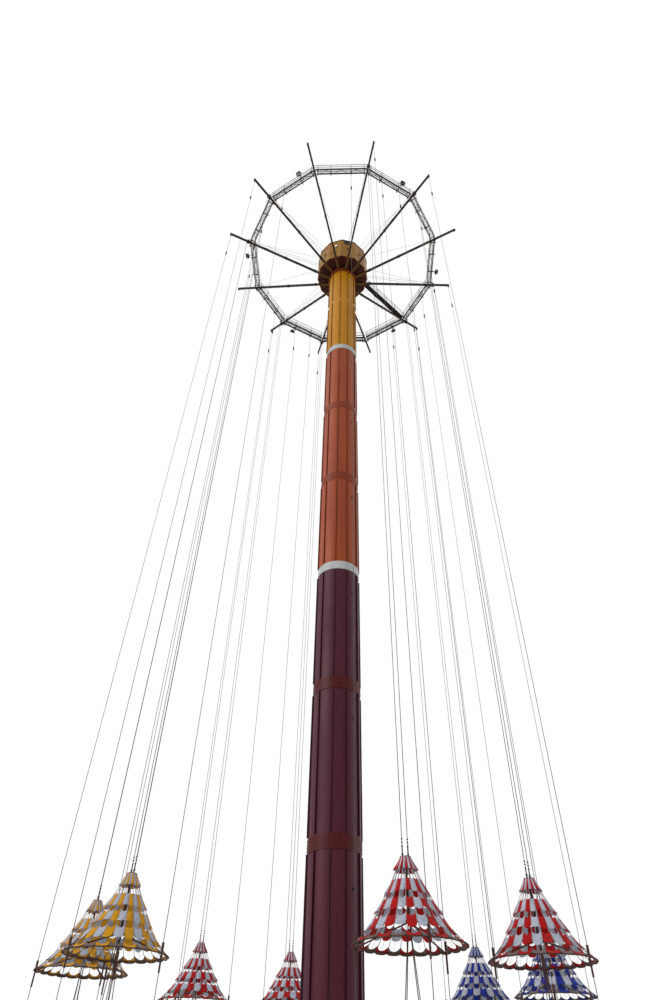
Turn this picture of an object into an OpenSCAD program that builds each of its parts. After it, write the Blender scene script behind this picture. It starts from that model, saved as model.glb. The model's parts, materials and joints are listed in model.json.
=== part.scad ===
// Parachute drop tower ride, built at half the size of the real one.
// Millimetres, +Z up. The origin is on the column's axis, on the underside of the base flange.
// Azimuths are counted from -Y towards +X, and a chute stands under two arms of every three.

/* [Column] */
// Outer radius of the column plates
column_r = 710; // [650:5:780]
// Thickness of the column plates
column_wall = 12; // [8:1:20]
// Height of the lowest section, from the ground
base_section_h = 6000; // [5600:50:6400]
// Height of each full section above it
section_h = 4425; // [4300:25:4450]
// Height of the top section, up to the head
top_section_h = 3320; // [3200:10:3500]
// Number of upright stiffener ribs round a section
rib_count = 10; // [8:1:14]
// Azimuth of the first stiffener rib
first_rib_az = 25; // [0:1:35]
// Width of a stiffener rib
rib_w = 30; // [16:1:40]
// How far a rib stands out from the plates
rib_d = 48; // [20:1:60]
// Gap between a rib's end and a collar
rib_gap = 5; // [2:1:20]
// Height of a collar over a section joint
collar_h = 390; // [250:10:450]
// Height of the white bands
band_h = 325; // [200:5:400]
// How far collars and bands stand out from the plates
collar_d = 16; // [8:1:30]

/* [Base flange] */
// Outer radius of the base flange
flange_r = 920; // [880:5:980]
// Thickness of the base flange
flange_t = 50; // [30:1:70]
// Radius of the anchor bolt circle
bolt_circle_r = 850; // [835:1:860]
// Radius of an anchor bolt hole
bolt_hole_r = 18; // [12:1:22]
// Height of the gussets on the flange
gusset_h = 320; // [200:10:400]
// Thickness of a gusset
gusset_t = 16; // [10:1:24]

/* [Head] */
// Radius to the corners of the head housing
head_r = 1415; // [1350:5:1450]
// Height of the head housing
head_h = 1875; // [1700:5:1950]
// Thickness of the head cladding
head_wall = 10; // [6:1:16]
// Thickness of the head floor and roof
head_plate_t = 20; // [12:1:24]
// How far the hub ring stands out from the column
hub_d = 50; // [40:1:60]
// Depth of the hub ring below the head floor
hub_drop = 390; // [350:5:430]
// Height of the rope slots' middle above the underside of the head
slot_rise = 930; // [850:5:1000]
// Height of a rope slot
slot_h = 150; // [110:5:200]

/* [Arms] */
// Azimuth of the first arm
first_arm_az = 12.5; // [0:0.5:29]
// Rise of the arms, in degrees above level
arm_rise = 21.8; // [21.6:0.1:22]
// How far below the head the arms' undersides would meet on the axis
arm_drop = 525; // [515:1:535]
// Width of an arm
arm_w = 84; // [70:1:90]
// Upright depth of an arm
arm_h = 134; // [120:1:140]
// Thickness of an arm's flange plates
arm_flange_t = 12; // [8:1:16]
// Thickness of an arm's web plates
arm_web_t = 40; // [30:1:50]
// How far an arm reaches past its outer guide rope
tip_overhang = 55; // [45:1:80]
// Depth of the level shoe under an arm's tip
tip_shoe_drop = 30; // [20:1:50]

/* [Catwalk ring] */
// How far the catwalk's corners lie inside the chutes' axes
ring_inset = 305; // [295:1:320]
// Height of the stringers' undersides above an arm's underside
ring_lift = 87; // [77:1:97]
// Width of the catwalk
ring_w = 250; // [230:2:256]
// Depth of a stringer
stringer_h = 100; // [90:1:110]
// Thickness of a stringer
stringer_t = 25; // [15:1:30]
// Thickness of the deck
deck_t = 15; // [8:1:20]
// Half of the gap between two bays at an arm, for the hoist ropes
bay_gap = 72; // [71:1:80]
// Height of the handrail above the deck
rail_h = 550; // [450:5:600]
// Side of a square rail or post
rail_side = 20; // [14:1:26]
// Side of a cross bracket under the stringers
bracket_side = 40; // [30:1:44]
// How far a bracket stands out past the stringers
bracket_reach = 60; // [40:5:80]

/* [Chutes] */
// Radius from the column's axis to a chute's axis
chute_r = 5700; // [5690:1:5710]
// Radius of the circle through a chute's three guide ropes
guide_circle_r = 970; // [965:1:980]
// Radius of a guide rope
guide_rope_r = 7; // [5:0.5:8]
// Radius of a hoist rope
hoist_rope_r = 7; // [5:0.5:8]
// Half of the distance between the two hoist ropes
hoist_half_gap = 56; // [54:0.5:57]
// Height of the canopy's top at the loading position
canopy_top_z = 4425; // [4350:5:4500]
// Radius of the canopy's crown
crown_r = 95; // [80:1:120]
// Radius of the canopy's hem
rim_r = 1000; // [990:1:1030]
// Height of the canopy from the hem to the crown
canopy_h = 1390; // [1300:5:1450]
// Thickness of the canopy as a solid
canopy_t = 10; // [6:1:14]
// Number of gores round a canopy
gore_count = 24; // [16:2:28]
// Width of the seam tapes that bridge the vents
tape_w = 22; // [14:1:34]
// Radius of the canopy's mast
mast_r = 25; // [18:1:32]
// Radius of the hoop's tube
hoop_tube_r = 12; // [8:1:15]
// Bore of a guide tube
guide_bore_r = 12; // [12:0.5:13]
// Wall of a guide tube
guide_wall = 6; // [4:1:8]
// Length of a guide tube
guide_tube_l = 475; // [400:5:520]
// Radius of a hanger rod
hanger_r = 8; // [5:1:12]
// Width of the bench
bench_w = 560; // [500:5:620]
// Depth of the bench seat
bench_d = 230; // [200:5:260]
// Height of the seat above the ground
seat_z = 310; // [290:5:340]
// Height of the bench's back
back_h = 330; // [280:5:360]

/* [Sheaves and buffers] */
// Radius of the hoist rope's bend on a sheave
sheave_r = 85; // [80:1:88]
// Width of a sheave
sheave_w = 26; // [22:1:28]
// Radius of a sheave axle
axle_r = 12; // [9:0.5:14]
// How far the buffers' lower ends hang below the guide ropes' tops
buffer_drop = 2340; // [2300:5:2365]
// Length of a buffer
buffer_l = 300; // [200:10:400]
// Outer radius of a buffer
buffer_r = 34; // [28:1:40]

/* [Hidden] */

arm_count = 12;
arm_step = 360 / arm_count;
// Running gap that keeps neighbours on round seats apart
seat = 0.3;
round_fn = 96;
bar_fn = 8;
full_sections = 6;
top_section_z = base_section_h + full_sections * section_h;
head_low_z = top_section_z + top_section_h;
arm_axis_z = head_low_z - arm_drop;
arm_tip_r = chute_r + guide_circle_r + tip_overhang;
ring_r = chute_r - ring_inset;
bolt_count = 12;

// The chutes hang under the first two arms of every three
chute_arms = [for (k = [0:arm_count - 1]) if (k % 3 != 2) k];
// The gangway to the head lies over this arm
bridge_arm = 4;

function arm_low(r) = arm_axis_z + r * tan(arm_rise);
function arm_top(r) = arm_low(r) + arm_h;

hub_r = column_r + hub_d;
hub_top_z = head_low_z + 180;
head_flat = head_r * cos(arm_step / 2);
head_top_z = head_low_z + head_h;
slot_z = head_low_z + slot_rise;

ring_flat = ring_r * cos(arm_step / 2);
ring_low_z = arm_low(ring_r) + ring_lift;
deck_z = ring_low_z + stringer_h;
walk_z = deck_z + deck_t;
half_bay = ring_flat * tan(arm_step / 2);
// The catwalk's inner corner on an arm, and the top of the saddle there
inner_x = (ring_flat - ring_w / 2) / cos(arm_step / 2);
saddle_top_z = arm_top(inner_x) + 45;
guide_back = guide_circle_r / 2;
guide_side = guide_circle_r * cos(30);
// Where the inner guide ropes meet a bay, measured along the bay from its middle
inner_guide_az = atan2(guide_side, chute_r - guide_back);
inner_guide_r = norm([chute_r - guide_back, guide_side]);
inner_post = inner_guide_r * sin(arm_step / 2 - inner_guide_az);
end_post = half_bay - 160;
posts = [-end_post, -inner_post, inner_post, end_post];
// The rails stand this far from the walkway's middle line
rail_offset = ring_w / 2 - rail_side / 2 - 4;
stay_r = 5;
bridge_low_x = head_flat + seat;
bridge_high_x = inner_x - ring_w / 2 * tan(arm_step / 2) - seat;

// The level shoe under an arm's tip, and where the guide ropes end
shoe_x = arm_tip_r - 2 * tip_overhang;
shoe_low_z = arm_low(shoe_x) - tip_shoe_drop;
anchor_h = 170;
outer_rope_top = shoe_low_z - seat;
inner_rope_top = ring_low_z - bracket_side - seat;

sheave_x = chute_r - sheave_r;
sheave_z = arm_low(sheave_x) + arm_h / 2;
hoist_top_z = sheave_z;

// The canopy's outline from crown to hem: share of the flare and share of the height
canopy_line = [[0, 0], [0.1, 0.155], [0.213, 0.306], [0.313, 0.414], [0.406, 0.522],
    [0.541, 0.666], [0.608, 0.737], [0.682, 0.809], [0.768, 0.881], [0.9, 0.939], [1, 1]];
// The open vents below each tier, as shares of the height
canopy_vents = [[0.198, 0.266], [0.432, 0.507], [0.644, 0.719], [0.853, 0.942]];
// Gores in one panel of cloth
panel_gores = 3;
function canopy_point(p) = [crown_r + (rim_r - crown_r) * p[0], canopy_top_z - canopy_h * p[1]];
hem_z = canopy_top_z - canopy_h;
// The canopy's thickness measured upright, and its underside over the hoop
canopy_drop = canopy_t * 1.4;
hoop_r = guide_circle_r - guide_bore_r - guide_wall - hoop_tube_r + 4;
flare_high = canopy_point(canopy_line[9]);
flare_low = canopy_point(canopy_line[10]);
flare_fall = (flare_high[1] - flare_low[1]) / (flare_low[0] - flare_high[0]);
hoop_z = flare_high[1] - canopy_drop - flare_fall * (hoop_r - flare_high[0])
    - (hoop_tube_r + seat) * sqrt(1 + flare_fall * flare_fall);
yoke_z = canopy_point(canopy_line[6])[1];
lug_top_z = canopy_top_z + 35;
guide_tube_top = hoop_z + 168;
guide_tube_r = guide_bore_r + guide_wall;
guide_head_r = guide_tube_r + 6;

// Moves a child drawn along +X out to an azimuth
module at_az(az) rotate([0, 0, az - 90]) children();
module on_arm(k) at_az(first_arm_az + arm_step * k) children();
module on_bay(k) at_az(first_arm_az + arm_step * (k + 0.5)) children();
module at_chute(i) on_arm(chute_arms[i - 1]) translate([chute_r, 0, 0]) children();

// A round bar between two points
module bar(a, b, r, sides = bar_fn) {
    d = b - a;
    translate(a) rotate([0, acos(d[2] / norm(d)), atan2(d[1], d[0])])
        cylinder(r = r, h = norm(d), $fn = sides);
}

// A plate cut from a side view in X and Z, centred on Y
module side_plate(points, width) {
    rotate([90, 0, 0]) linear_extrude(height = width, center = true) polygon(points);
}

module base_flange() color("dimgray") difference() {
    union() {
        cylinder(r = flange_r, h = flange_t, $fn = round_fn);
        for (k = [0:bolt_count - 1]) rotate([0, 0, (k + 0.5) * 360 / bolt_count])
            side_plate([[column_r + seat, flange_t - 1], [flange_r - 20, flange_t - 1],
                [flange_r - 20, flange_t + 40], [column_r + 40, flange_t + gusset_h],
                [column_r + seat, flange_t + gusset_h]], gusset_t);
    }
    for (k = [0:bolt_count - 1]) rotate([0, 0, k * 360 / bolt_count])
        translate([bolt_circle_r, 0, -1]) cylinder(r = bolt_hole_r, h = flange_t + 2, $fn = 32);
}

// A tube with upright ribs that stop short of the collars at its ends
module column_tube(low, high, rib_low, rib_high) difference() {
    union() {
        translate([0, 0, low]) cylinder(r = column_r, h = high - low, $fn = round_fn);
        for (k = [0:rib_count - 1]) at_az(first_rib_az + k * 360 / rib_count)
            translate([column_r - column_wall / 2, -rib_w / 2, rib_low])
                cube([rib_d + column_wall / 2, rib_w, rib_high - rib_low]);
    }
    translate([0, 0, low - 1]) cylinder(r = column_r - column_wall, h = high - low + 2, $fn = round_fn);
}

module column_base() color("#5a2038")
    column_tube(flange_t, base_section_h, flange_t + gusset_h + 60, base_section_h - collar_h / 2 - rib_gap);

module column_section(n) {
    low = base_section_h + (n - 1) * section_h;
    high = low + section_h;
    rib_start = collar_h / 2 + rib_gap;
    color(n <= 2 ? "#5a2038" : n <= 5 ? "#d2601e" : "#e2a832")
        column_tube(low, high, low + rib_start, high - rib_start);
}

module column_top_section() color("#e2a832")
    column_tube(top_section_z, hub_top_z, top_section_z + 60, head_low_z - hub_drop - rib_gap);

module sleeve(z, height, depth) translate([0, 0, z - height / 2]) difference() {
    cylinder(r = column_r + depth, h = height, $fn = round_fn);
    translate([0, 0, -1]) cylinder(r = column_r + seat, h = height + 2, $fn = round_fn);
}

module column_collars() color("#5c1418")
    for (n = [0, 1]) sleeve(base_section_h + n * section_h, collar_h, collar_d);

module upper_collars() color("#b8521c")
    for (n = [3, 4]) sleeve(base_section_h + n * section_h, collar_h, collar_d);

module column_bands() color("whitesmoke")
    for (n = [2, 5]) sleeve(base_section_h + n * section_h, band_h, collar_d);

module hub_ring() color("#4a1a18") translate([0, 0, head_low_z - hub_drop]) difference() {
    cylinder(r = hub_r, h = hub_top_z - head_low_z + hub_drop, $fn = round_fn);
    translate([0, 0, -1])
        cylinder(r = column_r + seat, h = hub_top_z - head_low_z + hub_drop + 2, $fn = round_fn);
}

// The twelve-sided outline of the head, with its flats over the arms
module head_outline(corner_r) rotate([0, 0, first_arm_az - 90 + arm_step / 2])
    circle(r = corner_r, $fn = arm_count);

module arm_ways(clear) {
    for (k = [0:arm_count - 1]) on_arm(k)
        side_plate([[hub_r, arm_low(hub_r) - 3], [head_r + 100, arm_low(head_r + 100) - 3],
            [head_r + 100, arm_top(head_r + 100) + 3], [hub_r, arm_top(hub_r) + 3]],
            arm_w + 2 * clear);
}

module head_floor() color("#4a1a18") difference() {
    translate([0, 0, head_low_z]) linear_extrude(height = head_plate_t)
        head_outline(head_r - head_wall - seat);
    translate([0, 0, head_low_z - 1]) cylinder(r = hub_r + seat, h = head_plate_t + 2, $fn = round_fn);
    arm_ways(3);
}

module head_cladding() color("#e2a832") difference() {
    translate([0, 0, head_low_z]) linear_extrude(height = head_h) difference() {
        head_outline(head_r);
        head_outline(head_r - head_wall);
    }
    arm_ways(3);
    for (k = chute_arms) on_arm(k)
        translate([head_flat - 60, -hoist_half_gap - 30, slot_z - slot_h / 2])
            cube([100, 2 * hoist_half_gap + 60, slot_h]);
}

module head_roof() color("#c98f2c") translate([0, 0, head_top_z])
    linear_extrude(height = head_plate_t) head_outline(head_r);

// One arm: a web between two flange plates, an end plate at the hub and a level shoe at the tip
module arm_solid() difference() {
    union() {
        side_plate([[hub_r + seat, arm_low(hub_r)], [arm_tip_r, arm_low(arm_tip_r)],
            [arm_tip_r, arm_top(arm_tip_r)], [hub_r + seat, arm_top(hub_r)]], arm_web_t);
        for (low = [0, arm_h - arm_flange_t])
            side_plate([[hub_r + seat, arm_low(hub_r) + low], [arm_tip_r, arm_low(arm_tip_r) + low],
                [arm_tip_r, arm_low(arm_tip_r) + low + arm_flange_t],
                [hub_r + seat, arm_low(hub_r) + low + arm_flange_t]], arm_w);
        side_plate([[shoe_x, shoe_low_z], [arm_tip_r, shoe_low_z],
            [arm_tip_r, arm_top(arm_tip_r) + 10], [arm_tip_r - arm_flange_t, arm_top(arm_tip_r) + 10],
            [arm_tip_r - arm_flange_t, arm_low(arm_tip_r)], [shoe_x, arm_low(shoe_x) + 2]], arm_w);
    }
    translate([sheave_x, 0, sheave_z]) rotate([90, 0, 0])
        cylinder(r = axle_r + seat, h = arm_w + 10, center = true, $fn = 32);
}

module radial_arms() color("#8a8378") for (k = [0:arm_count - 1]) on_arm(k) arm_solid();

// Everything of one bay that is kept off its two arms, so that the hoist ropes pass between bays
module between_arms() intersection() {
    children();
    translate([0, 0, ring_low_z - 2 * bracket_side])
        linear_extrude(height = 2 * bracket_side + stringer_h + 2 * deck_t) polygon([
            [bay_gap / sin(arm_step / 2), 0],
            [bay_gap / sin(arm_step / 2) + arm_tip_r, arm_tip_r * tan(arm_step / 2)],
            [bay_gap / sin(arm_step / 2) + arm_tip_r, -arm_tip_r * tan(arm_step / 2)]]);
}

module ring_bay() between_arms() {
    for (side = [-1, 1])
        translate([ring_flat + side * (ring_w - stringer_t) / 2 - stringer_t / 2, -half_bay - 100, ring_low_z])
            cube([stringer_t, 2 * half_bay + 200, stringer_h]);
    for (y = posts)
        translate([ring_flat - ring_w / 2 - bracket_reach, y - bracket_side / 2, ring_low_z - bracket_side])
            cube([ring_w + 2 * bracket_reach, bracket_side, bracket_side + 1]);
}

// Saddles that carry the stringers: the inner one lies on the arm, the outer one hangs under it
module ring_saddles() color("#5a4a3a") for (k = [0:arm_count - 1]) on_arm(k) {
    outer_x = (ring_flat + ring_w / 2) / cos(arm_step / 2) - stringer_t;
    side_plate([[inner_x, arm_top(inner_x) + seat],
        [inner_x + stringer_t, arm_top(inner_x + stringer_t) + seat],
        [inner_x + stringer_t, saddle_top_z], [inner_x, saddle_top_z]], 2 * (bay_gap - seat));
    side_plate([[outer_x - 8, arm_low(outer_x) - 50], [outer_x + 16, arm_low(outer_x) - 50],
        [outer_x + 16, arm_low(outer_x + 16) - seat], [outer_x - 8, arm_low(outer_x - 8) - seat]],
        2 * bay_gap + 90);
    for (side = [-1, 1])
        translate([outer_x - 8, side * (bay_gap + 22.5) - 22.5, arm_low(outer_x) - 20])
            cube([24, 45, ring_low_z - seat - arm_low(outer_x) + 20]);
}

module ring_beams() color("#6b5a48") for (k = [0:arm_count - 1]) on_bay(k) ring_bay();

module ring_deck() color("#7b6a55") for (k = [0:arm_count - 1]) on_bay(k) between_arms()
    translate([ring_flat - ring_w / 2, -half_bay - 100, deck_z]) cube([ring_w, 2 * half_bay + 200, deck_t]);

// A straight handrail along Y with posts, a top rail and a mid rail
module rail_panel(low, high, at) {
    for (y = at) translate([-rail_side / 2, y - rail_side / 2, walk_z])
        cube([rail_side, rail_side, rail_h]);
    for (h = [rail_h / 2, rail_h - rail_side]) translate([-rail_side / 2, low, walk_z + h])
        cube([rail_side, high - low, rail_side]);
}

module catwalk_rails() color("#54493d") {
    for (k = [0:arm_count - 1]) on_bay(k) bay_rails(k);
    on_arm(bridge_arm) for (side = [-1, 1]) translate([0, side * rail_offset, 0])
        rotate([0, 0, -90]) rail_panel(bridge_low_x + 30, bridge_high_x - 30,
            [for (n = [0:5]) bridge_low_x + 40 + n * (bridge_high_x - bridge_low_x - 80) / 5]);
}

module bay_rails(k) {
    inner_end = (ring_flat - rail_offset) * tan(arm_step / 2) - rail_side;
    outer_end = (ring_flat + rail_offset) * tan(arm_step / 2) - rail_side;
    open_low = k == bridge_arm;
    open_high = k + 1 == bridge_arm;
    translate([ring_flat - rail_offset, 0, 0])
        rail_panel(open_low ? posts[0] - 20 : -inner_end, open_high ? posts[3] + 20 : inner_end, posts);
    translate([ring_flat + rail_offset, 0, 0]) rail_panel(-outer_end, outer_end, posts);
}

// The level gangway from the head to the catwalk
module access_bridge() color("#6b5a48") on_arm(bridge_arm) translate([bridge_low_x, 0, 0]) {
    span = bridge_high_x - bridge_low_x;
    for (side = [-1, 1])
        translate([0, side * (ring_w - stringer_t) / 2 - stringer_t / 2, ring_low_z + 20])
            cube([span, stringer_t, stringer_h - 20]);
    translate([0, -ring_w / 2, deck_z - 1]) cube([span, ring_w, deck_t + 1]);
}

// A grooved wheel on the Y axis, with its rope's bend at sheave_r
module sheave() rotate([90, 0, 0]) rotate_extrude($fn = 48) difference() {
    translate([0, -sheave_w / 2]) square([sheave_r + hoist_rope_r + 5, sheave_w]);
    translate([sheave_r, 0]) circle(r = hoist_rope_r + seat, $fn = 24);
    translate([sheave_r, -hoist_rope_r - seat]) square([30, 2 * (hoist_rope_r + seat)]);
}

module sheaves() color("#3a3a3a") for (k = chute_arms) on_arm(k) translate([sheave_x, 0, sheave_z]) {
    for (side = [-1, 1]) translate([0, side * hoist_half_gap, 0]) sheave();
    rotate([90, 0, 0]) cylinder(r = axle_r, h = 2 * bay_gap, center = true, $fn = 32);
}

module sheave_cheeks() color("#2c2c2c") for (k = chute_arms) on_arm(k) for (side = [-1, 1])
    translate([0, side * (bay_gap + 4), 0])
        side_plate([[sheave_x - 50, sheave_z - 90], [sheave_x + 60, sheave_z - 90], [sheave_x + 95, sheave_z],
            [sheave_x + 60, sheave_z + 110], [sheave_x - 50, sheave_z + 110]], 8);

// A taut stay from the catwalk to the head's top edge over every arm
module head_stays() color("#444444") for (k = [0:arm_count - 1]) if (k != bridge_arm) on_arm(k)
    bar([head_flat + seat, 0, head_top_z - 30],
        [inner_x + stringer_t / 2, 0, saddle_top_z + stay_r + seat], stay_r);

// The hoist ropes from the head's slots over the sheaves
module head_ropes() color("#333333") for (k = chute_arms) on_arm(k) for (side = [-1, 1]) {
    way = [head_flat - 30 - sheave_x, slot_z - sheave_z];
    lift = atan2(-way[1], -way[0]) + asin(sheave_r / norm(way));
    translate([sheave_x, side * hoist_half_gap, sheave_z]) rotate([90, 0, 0]) {
        rotate_extrude(angle = 90 + lift, $fn = 48)
            translate([sheave_r, 0]) circle(r = hoist_rope_r, $fn = bar_fn);
        rotate([0, 0, 90 + lift]) translate([sheave_r, 0, 0]) rotate([-90, 0, 0])
            cylinder(r = hoist_rope_r, h = sqrt(pow(norm(way), 2) - sheave_r * sheave_r), $fn = bar_fn);
    }
}

// The three guide ropes of a chute, about its axis
module guide_places() {
    translate([guide_circle_r, 0, 0]) children(0);
    for (side = [-1, 1]) translate([-guide_back, side * guide_side, 0]) children(1);
}

module guide_rope(top) {
    translate([0, 0, anchor_h]) cylinder(r = guide_rope_r, h = top - anchor_h, $fn = bar_fn);
    translate([0, 0, top - 140]) cylinder(r = guide_rope_r + 10, h = 140, $fn = 16);
}

module guide_ropes() color("#333333") for (i = [1:8]) at_chute(i) guide_places() {
    guide_rope(outer_rope_top);
    guide_rope(inner_rope_top);
}

module buffer(low) translate([0, 0, low]) difference() {
    cylinder(r = buffer_r, h = buffer_l, $fn = 24);
    translate([0, 0, -1]) cylinder(r = guide_rope_r + seat, h = buffer_l + 2, $fn = 16);
}

module rope_buffers() color("#222222") for (i = [1:8]) at_chute(i) guide_places() {
    buffer(outer_rope_top - buffer_drop);
    buffer(inner_rope_top - buffer_drop);
}

module anchor() {
    translate([-80, -80, 0]) cube([160, 160, 16]);
    cylinder(r = 22, h = anchor_h, $fn = 24);
    translate([-40, -7, 0]) cube([80, 14, 90]);
}

module ground_anchors() color("dimgray") for (i = [1:8]) at_chute(i) guide_places() {
    anchor();
    anchor();
}

module floodlights() color("#26262a") for (k = [0, 2, 4, 6, 8, 10]) on_bay(k) {
    y = (k == 4 ? -1 : 1) * inner_post;
    translate([ring_flat + ring_w / 2, y + 50, ring_low_z + 10]) {
        cube([60, 30, 30]);
        translate([60, -100, -60]) cube([120, 230, 190]);
    }
}

// The canopy as a shell of revolution, open at the crown and the hem, slit for the guide tubes. Seam
// tapes bridge the vents between its tiers, and every third seam parts two panels of three gores.
// No seam meets a slit.
module canopy(i) color(i <= 2 || i == 5 || i == 6 ? "#a01818" : i <= 4 ? "#1c2f8a" : "#d6a520")
    at_chute(i) difference() {
        rotate_extrude($fn = round_fn) polygon(concat(
            [for (p = canopy_line) canopy_point(p)],
            [for (n = [len(canopy_line) - 1:-1:0]) canopy_point(canopy_line[n]) - [0, canopy_drop]]));
        guide_places() {
            guide_slit();
            guide_slit();
        }
        for (vent = canopy_vents) vent_windows(vent);
        for (k = [0:panel_gores:gore_count - 1]) at_seam(k) translate([0, -seat / 2, hem_z - 50])
            cube([rim_r + 50, seat, canopy_h + 100]);
    }

module at_seam(k) rotate([0, 0, (k + 0.5) * 360 / gore_count]) children();

// The windows of one vent, as a ring that the tapes cross
module vent_windows(vent) {
    high = canopy_top_z - canopy_h * vent[0];
    low = canopy_top_z - canopy_h * vent[1];
    difference() {
        translate([0, 0, low]) cylinder(r = rim_r + 50, h = high - low, $fn = round_fn);
        translate([0, 0, low - 1]) cylinder(r = crown_r, h = high - low + 2, $fn = round_fn);
        for (k = [0:gore_count - 1]) at_seam(k)
            translate([0, -tape_w / 2, low - 1]) cube([rim_r + 100, tape_w, high - low + 2]);
    }
}

module guide_slit() translate([0, 0, hem_z - 100]) cylinder(r = guide_head_r + 1.5, h = 400, $fn = 32);

// A hollow guide tube on the Z axis
module guide_tube() translate([0, 0, guide_tube_top - guide_tube_l]) difference() {
    union() {
        cylinder(r = guide_tube_r, h = guide_tube_l, $fn = 24);
        translate([0, 0, guide_tube_l - 125]) cylinder(r = guide_head_r, h = 125, $fn = 24);
    }
    translate([0, 0, -1]) cylinder(r = guide_bore_r, h = guide_tube_l + 2, $fn = 24);
}

module bench() {
    translate([-bench_d / 2, -bench_w / 2, seat_z]) cube([bench_d, bench_w, 22]);
    translate([-bench_d / 2 - 10, -bench_w / 2, seat_z]) cube([22, bench_w, back_h]);
    for (side = [-1, 1]) bench_end(side * (bench_w / 2 + 8));
    rail_reach = bench_w / 2 + 10;
    lap_x = bench_d / 2 - 20;
    foot_x = bench_d / 2 + 60;
    bar([lap_x, -rail_reach, seat_z + 150], [lap_x, rail_reach, seat_z + 150], 12);
    bar([foot_x, -rail_reach, seat_z - 150], [foot_x, rail_reach, seat_z - 150], 10);
}

// An end frame of the bench, from the foot rail to the hangers
module bench_end(y) translate([0, y, 0]) difference() {
    side_plate([[-bench_d / 2 - 10, seat_z - 30], [bench_d / 2 + 30, seat_z - 170],
        [bench_d / 2 + 80, seat_z - 170], [bench_d / 2 + 30, seat_z], [bench_d / 2, seat_z + 170],
        [-bench_d / 2 - 10, seat_z + back_h + 20]], 18);
    side_plate([[-bench_d / 2 + 30, seat_z + 40], [bench_d / 2 - 40, seat_z + 40],
        [bench_d / 2 - 50, seat_z + 110], [-bench_d / 2 + 30, seat_z + 210]], 30);
}

module gondola(i) color("#7a2e2a") at_chute(i) {
    bar([0, 0, yoke_z - 40], [0, 0, canopy_top_z - 40], mast_r, 24);
    translate([0, 0, canopy_top_z - 50]) cylinder(r = crown_r - seat, h = 50 + seat, $fn = 48);
    translate([0, 0, canopy_top_z + seat]) cylinder(r = crown_r + 8, h = 10, $fn = 48);
    for (side = [-1, 1]) translate([0, side * hoist_half_gap, canopy_top_z])
        cylinder(r = 14, h = lug_top_z - canopy_top_z, $fn = 24);
    translate([0, 0, hoop_z]) rotate_extrude($fn = round_fn) translate([hoop_r, 0])
        circle(r = hoop_tube_r, $fn = bar_fn);
    guide_places() {
        guide_tube();
        guide_tube();
    }
    for (az = [0, 120, 240]) rotate([0, 0, az])
        bar([0, 0, yoke_z], [hoop_r - hoop_tube_r / 2, 0, hoop_z], 14);
    for (sx = [-1, 1]) for (sy = [-1, 1])
        bar([sx * 10, sy * 14, yoke_z - 20],
            [sx * (bench_d / 2 - 20) - 10, sy * (bench_w / 2 + 8), seat_z + 140], hanger_r);
    bench();
}

module hoist_ropes(i) color("#333333") at_chute(i) for (side = [-1, 1])
    translate([0, side * hoist_half_gap, lug_top_z])
        cylinder(r = hoist_rope_r, h = hoist_top_z - lug_top_z, $fn = bar_fn);

base_flange();
column_base();
column_section(1);  // column_section_1
column_section(2);  // column_section_2
column_section(3);  // column_section_3
column_section(4);  // column_section_4
column_section(5);  // column_section_5
column_section(6);  // column_section_6
column_top_section();
column_collars();
upper_collars();
column_bands();
hub_ring();
head_floor();
head_cladding();
head_roof();
radial_arms();
ring_beams();
ring_saddles();
ring_deck();
catwalk_rails();
access_bridge();
sheaves();
sheave_cheeks();
head_stays();
head_ropes();
guide_ropes();
rope_buffers();
ground_anchors();
floodlights();
canopy(1);  // canopy_1
canopy(2);  // canopy_2
canopy(3);  // canopy_3
canopy(4);  // canopy_4
canopy(5);  // canopy_5
canopy(6);  // canopy_6
canopy(7);  // canopy_7
canopy(8);  // canopy_8
gondola(1);  // gondola_1
gondola(2);  // gondola_2
gondola(3);  // gondola_3
gondola(4);  // gondola_4
gondola(5);  // gondola_5
gondola(6);  // gondola_6
gondola(7);  // gondola_7
gondola(8);  // gondola_8
hoist_ropes(1);  // hoist_ropes_1
hoist_ropes(2);  // hoist_ropes_2
hoist_ropes(3);  // hoist_ropes_3
hoist_ropes(4);  // hoist_ropes_4
hoist_ropes(5);  // hoist_ropes_5
hoist_ropes(6);  // hoist_ropes_6
hoist_ropes(7);  // hoist_ropes_7
hoist_ropes(8);  // hoist_ropes_8
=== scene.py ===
import json
import math

import bmesh
import bpy
from mathutils import Matrix, Vector, noise


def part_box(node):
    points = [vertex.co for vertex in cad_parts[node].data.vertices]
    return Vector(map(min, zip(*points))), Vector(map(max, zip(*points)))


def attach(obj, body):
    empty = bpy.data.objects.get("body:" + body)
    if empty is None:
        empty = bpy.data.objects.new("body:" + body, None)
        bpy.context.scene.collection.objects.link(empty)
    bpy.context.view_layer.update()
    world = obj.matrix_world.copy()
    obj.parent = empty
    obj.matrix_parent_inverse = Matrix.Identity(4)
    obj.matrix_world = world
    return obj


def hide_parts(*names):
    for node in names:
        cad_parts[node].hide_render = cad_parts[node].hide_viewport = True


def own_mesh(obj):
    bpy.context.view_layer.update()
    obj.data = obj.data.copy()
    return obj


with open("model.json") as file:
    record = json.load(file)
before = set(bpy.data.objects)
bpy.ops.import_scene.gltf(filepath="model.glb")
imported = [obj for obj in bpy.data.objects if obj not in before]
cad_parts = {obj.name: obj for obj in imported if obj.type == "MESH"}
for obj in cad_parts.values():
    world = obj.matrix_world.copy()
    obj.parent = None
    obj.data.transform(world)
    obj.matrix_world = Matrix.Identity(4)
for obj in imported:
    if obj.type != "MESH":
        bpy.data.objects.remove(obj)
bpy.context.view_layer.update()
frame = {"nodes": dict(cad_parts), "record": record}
scene = bpy.context.scene
scene.view_settings.view_transform = "Standard"

# Lengths are in metres. Azimuths are in degrees, from -Y towards +X, as the tower's arms are counted
tower = dict(firstArm=12.5, armStep=30, armCount=12, chutes=8)
halfStep = math.radians(tower["armStep"] / 2)


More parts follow.
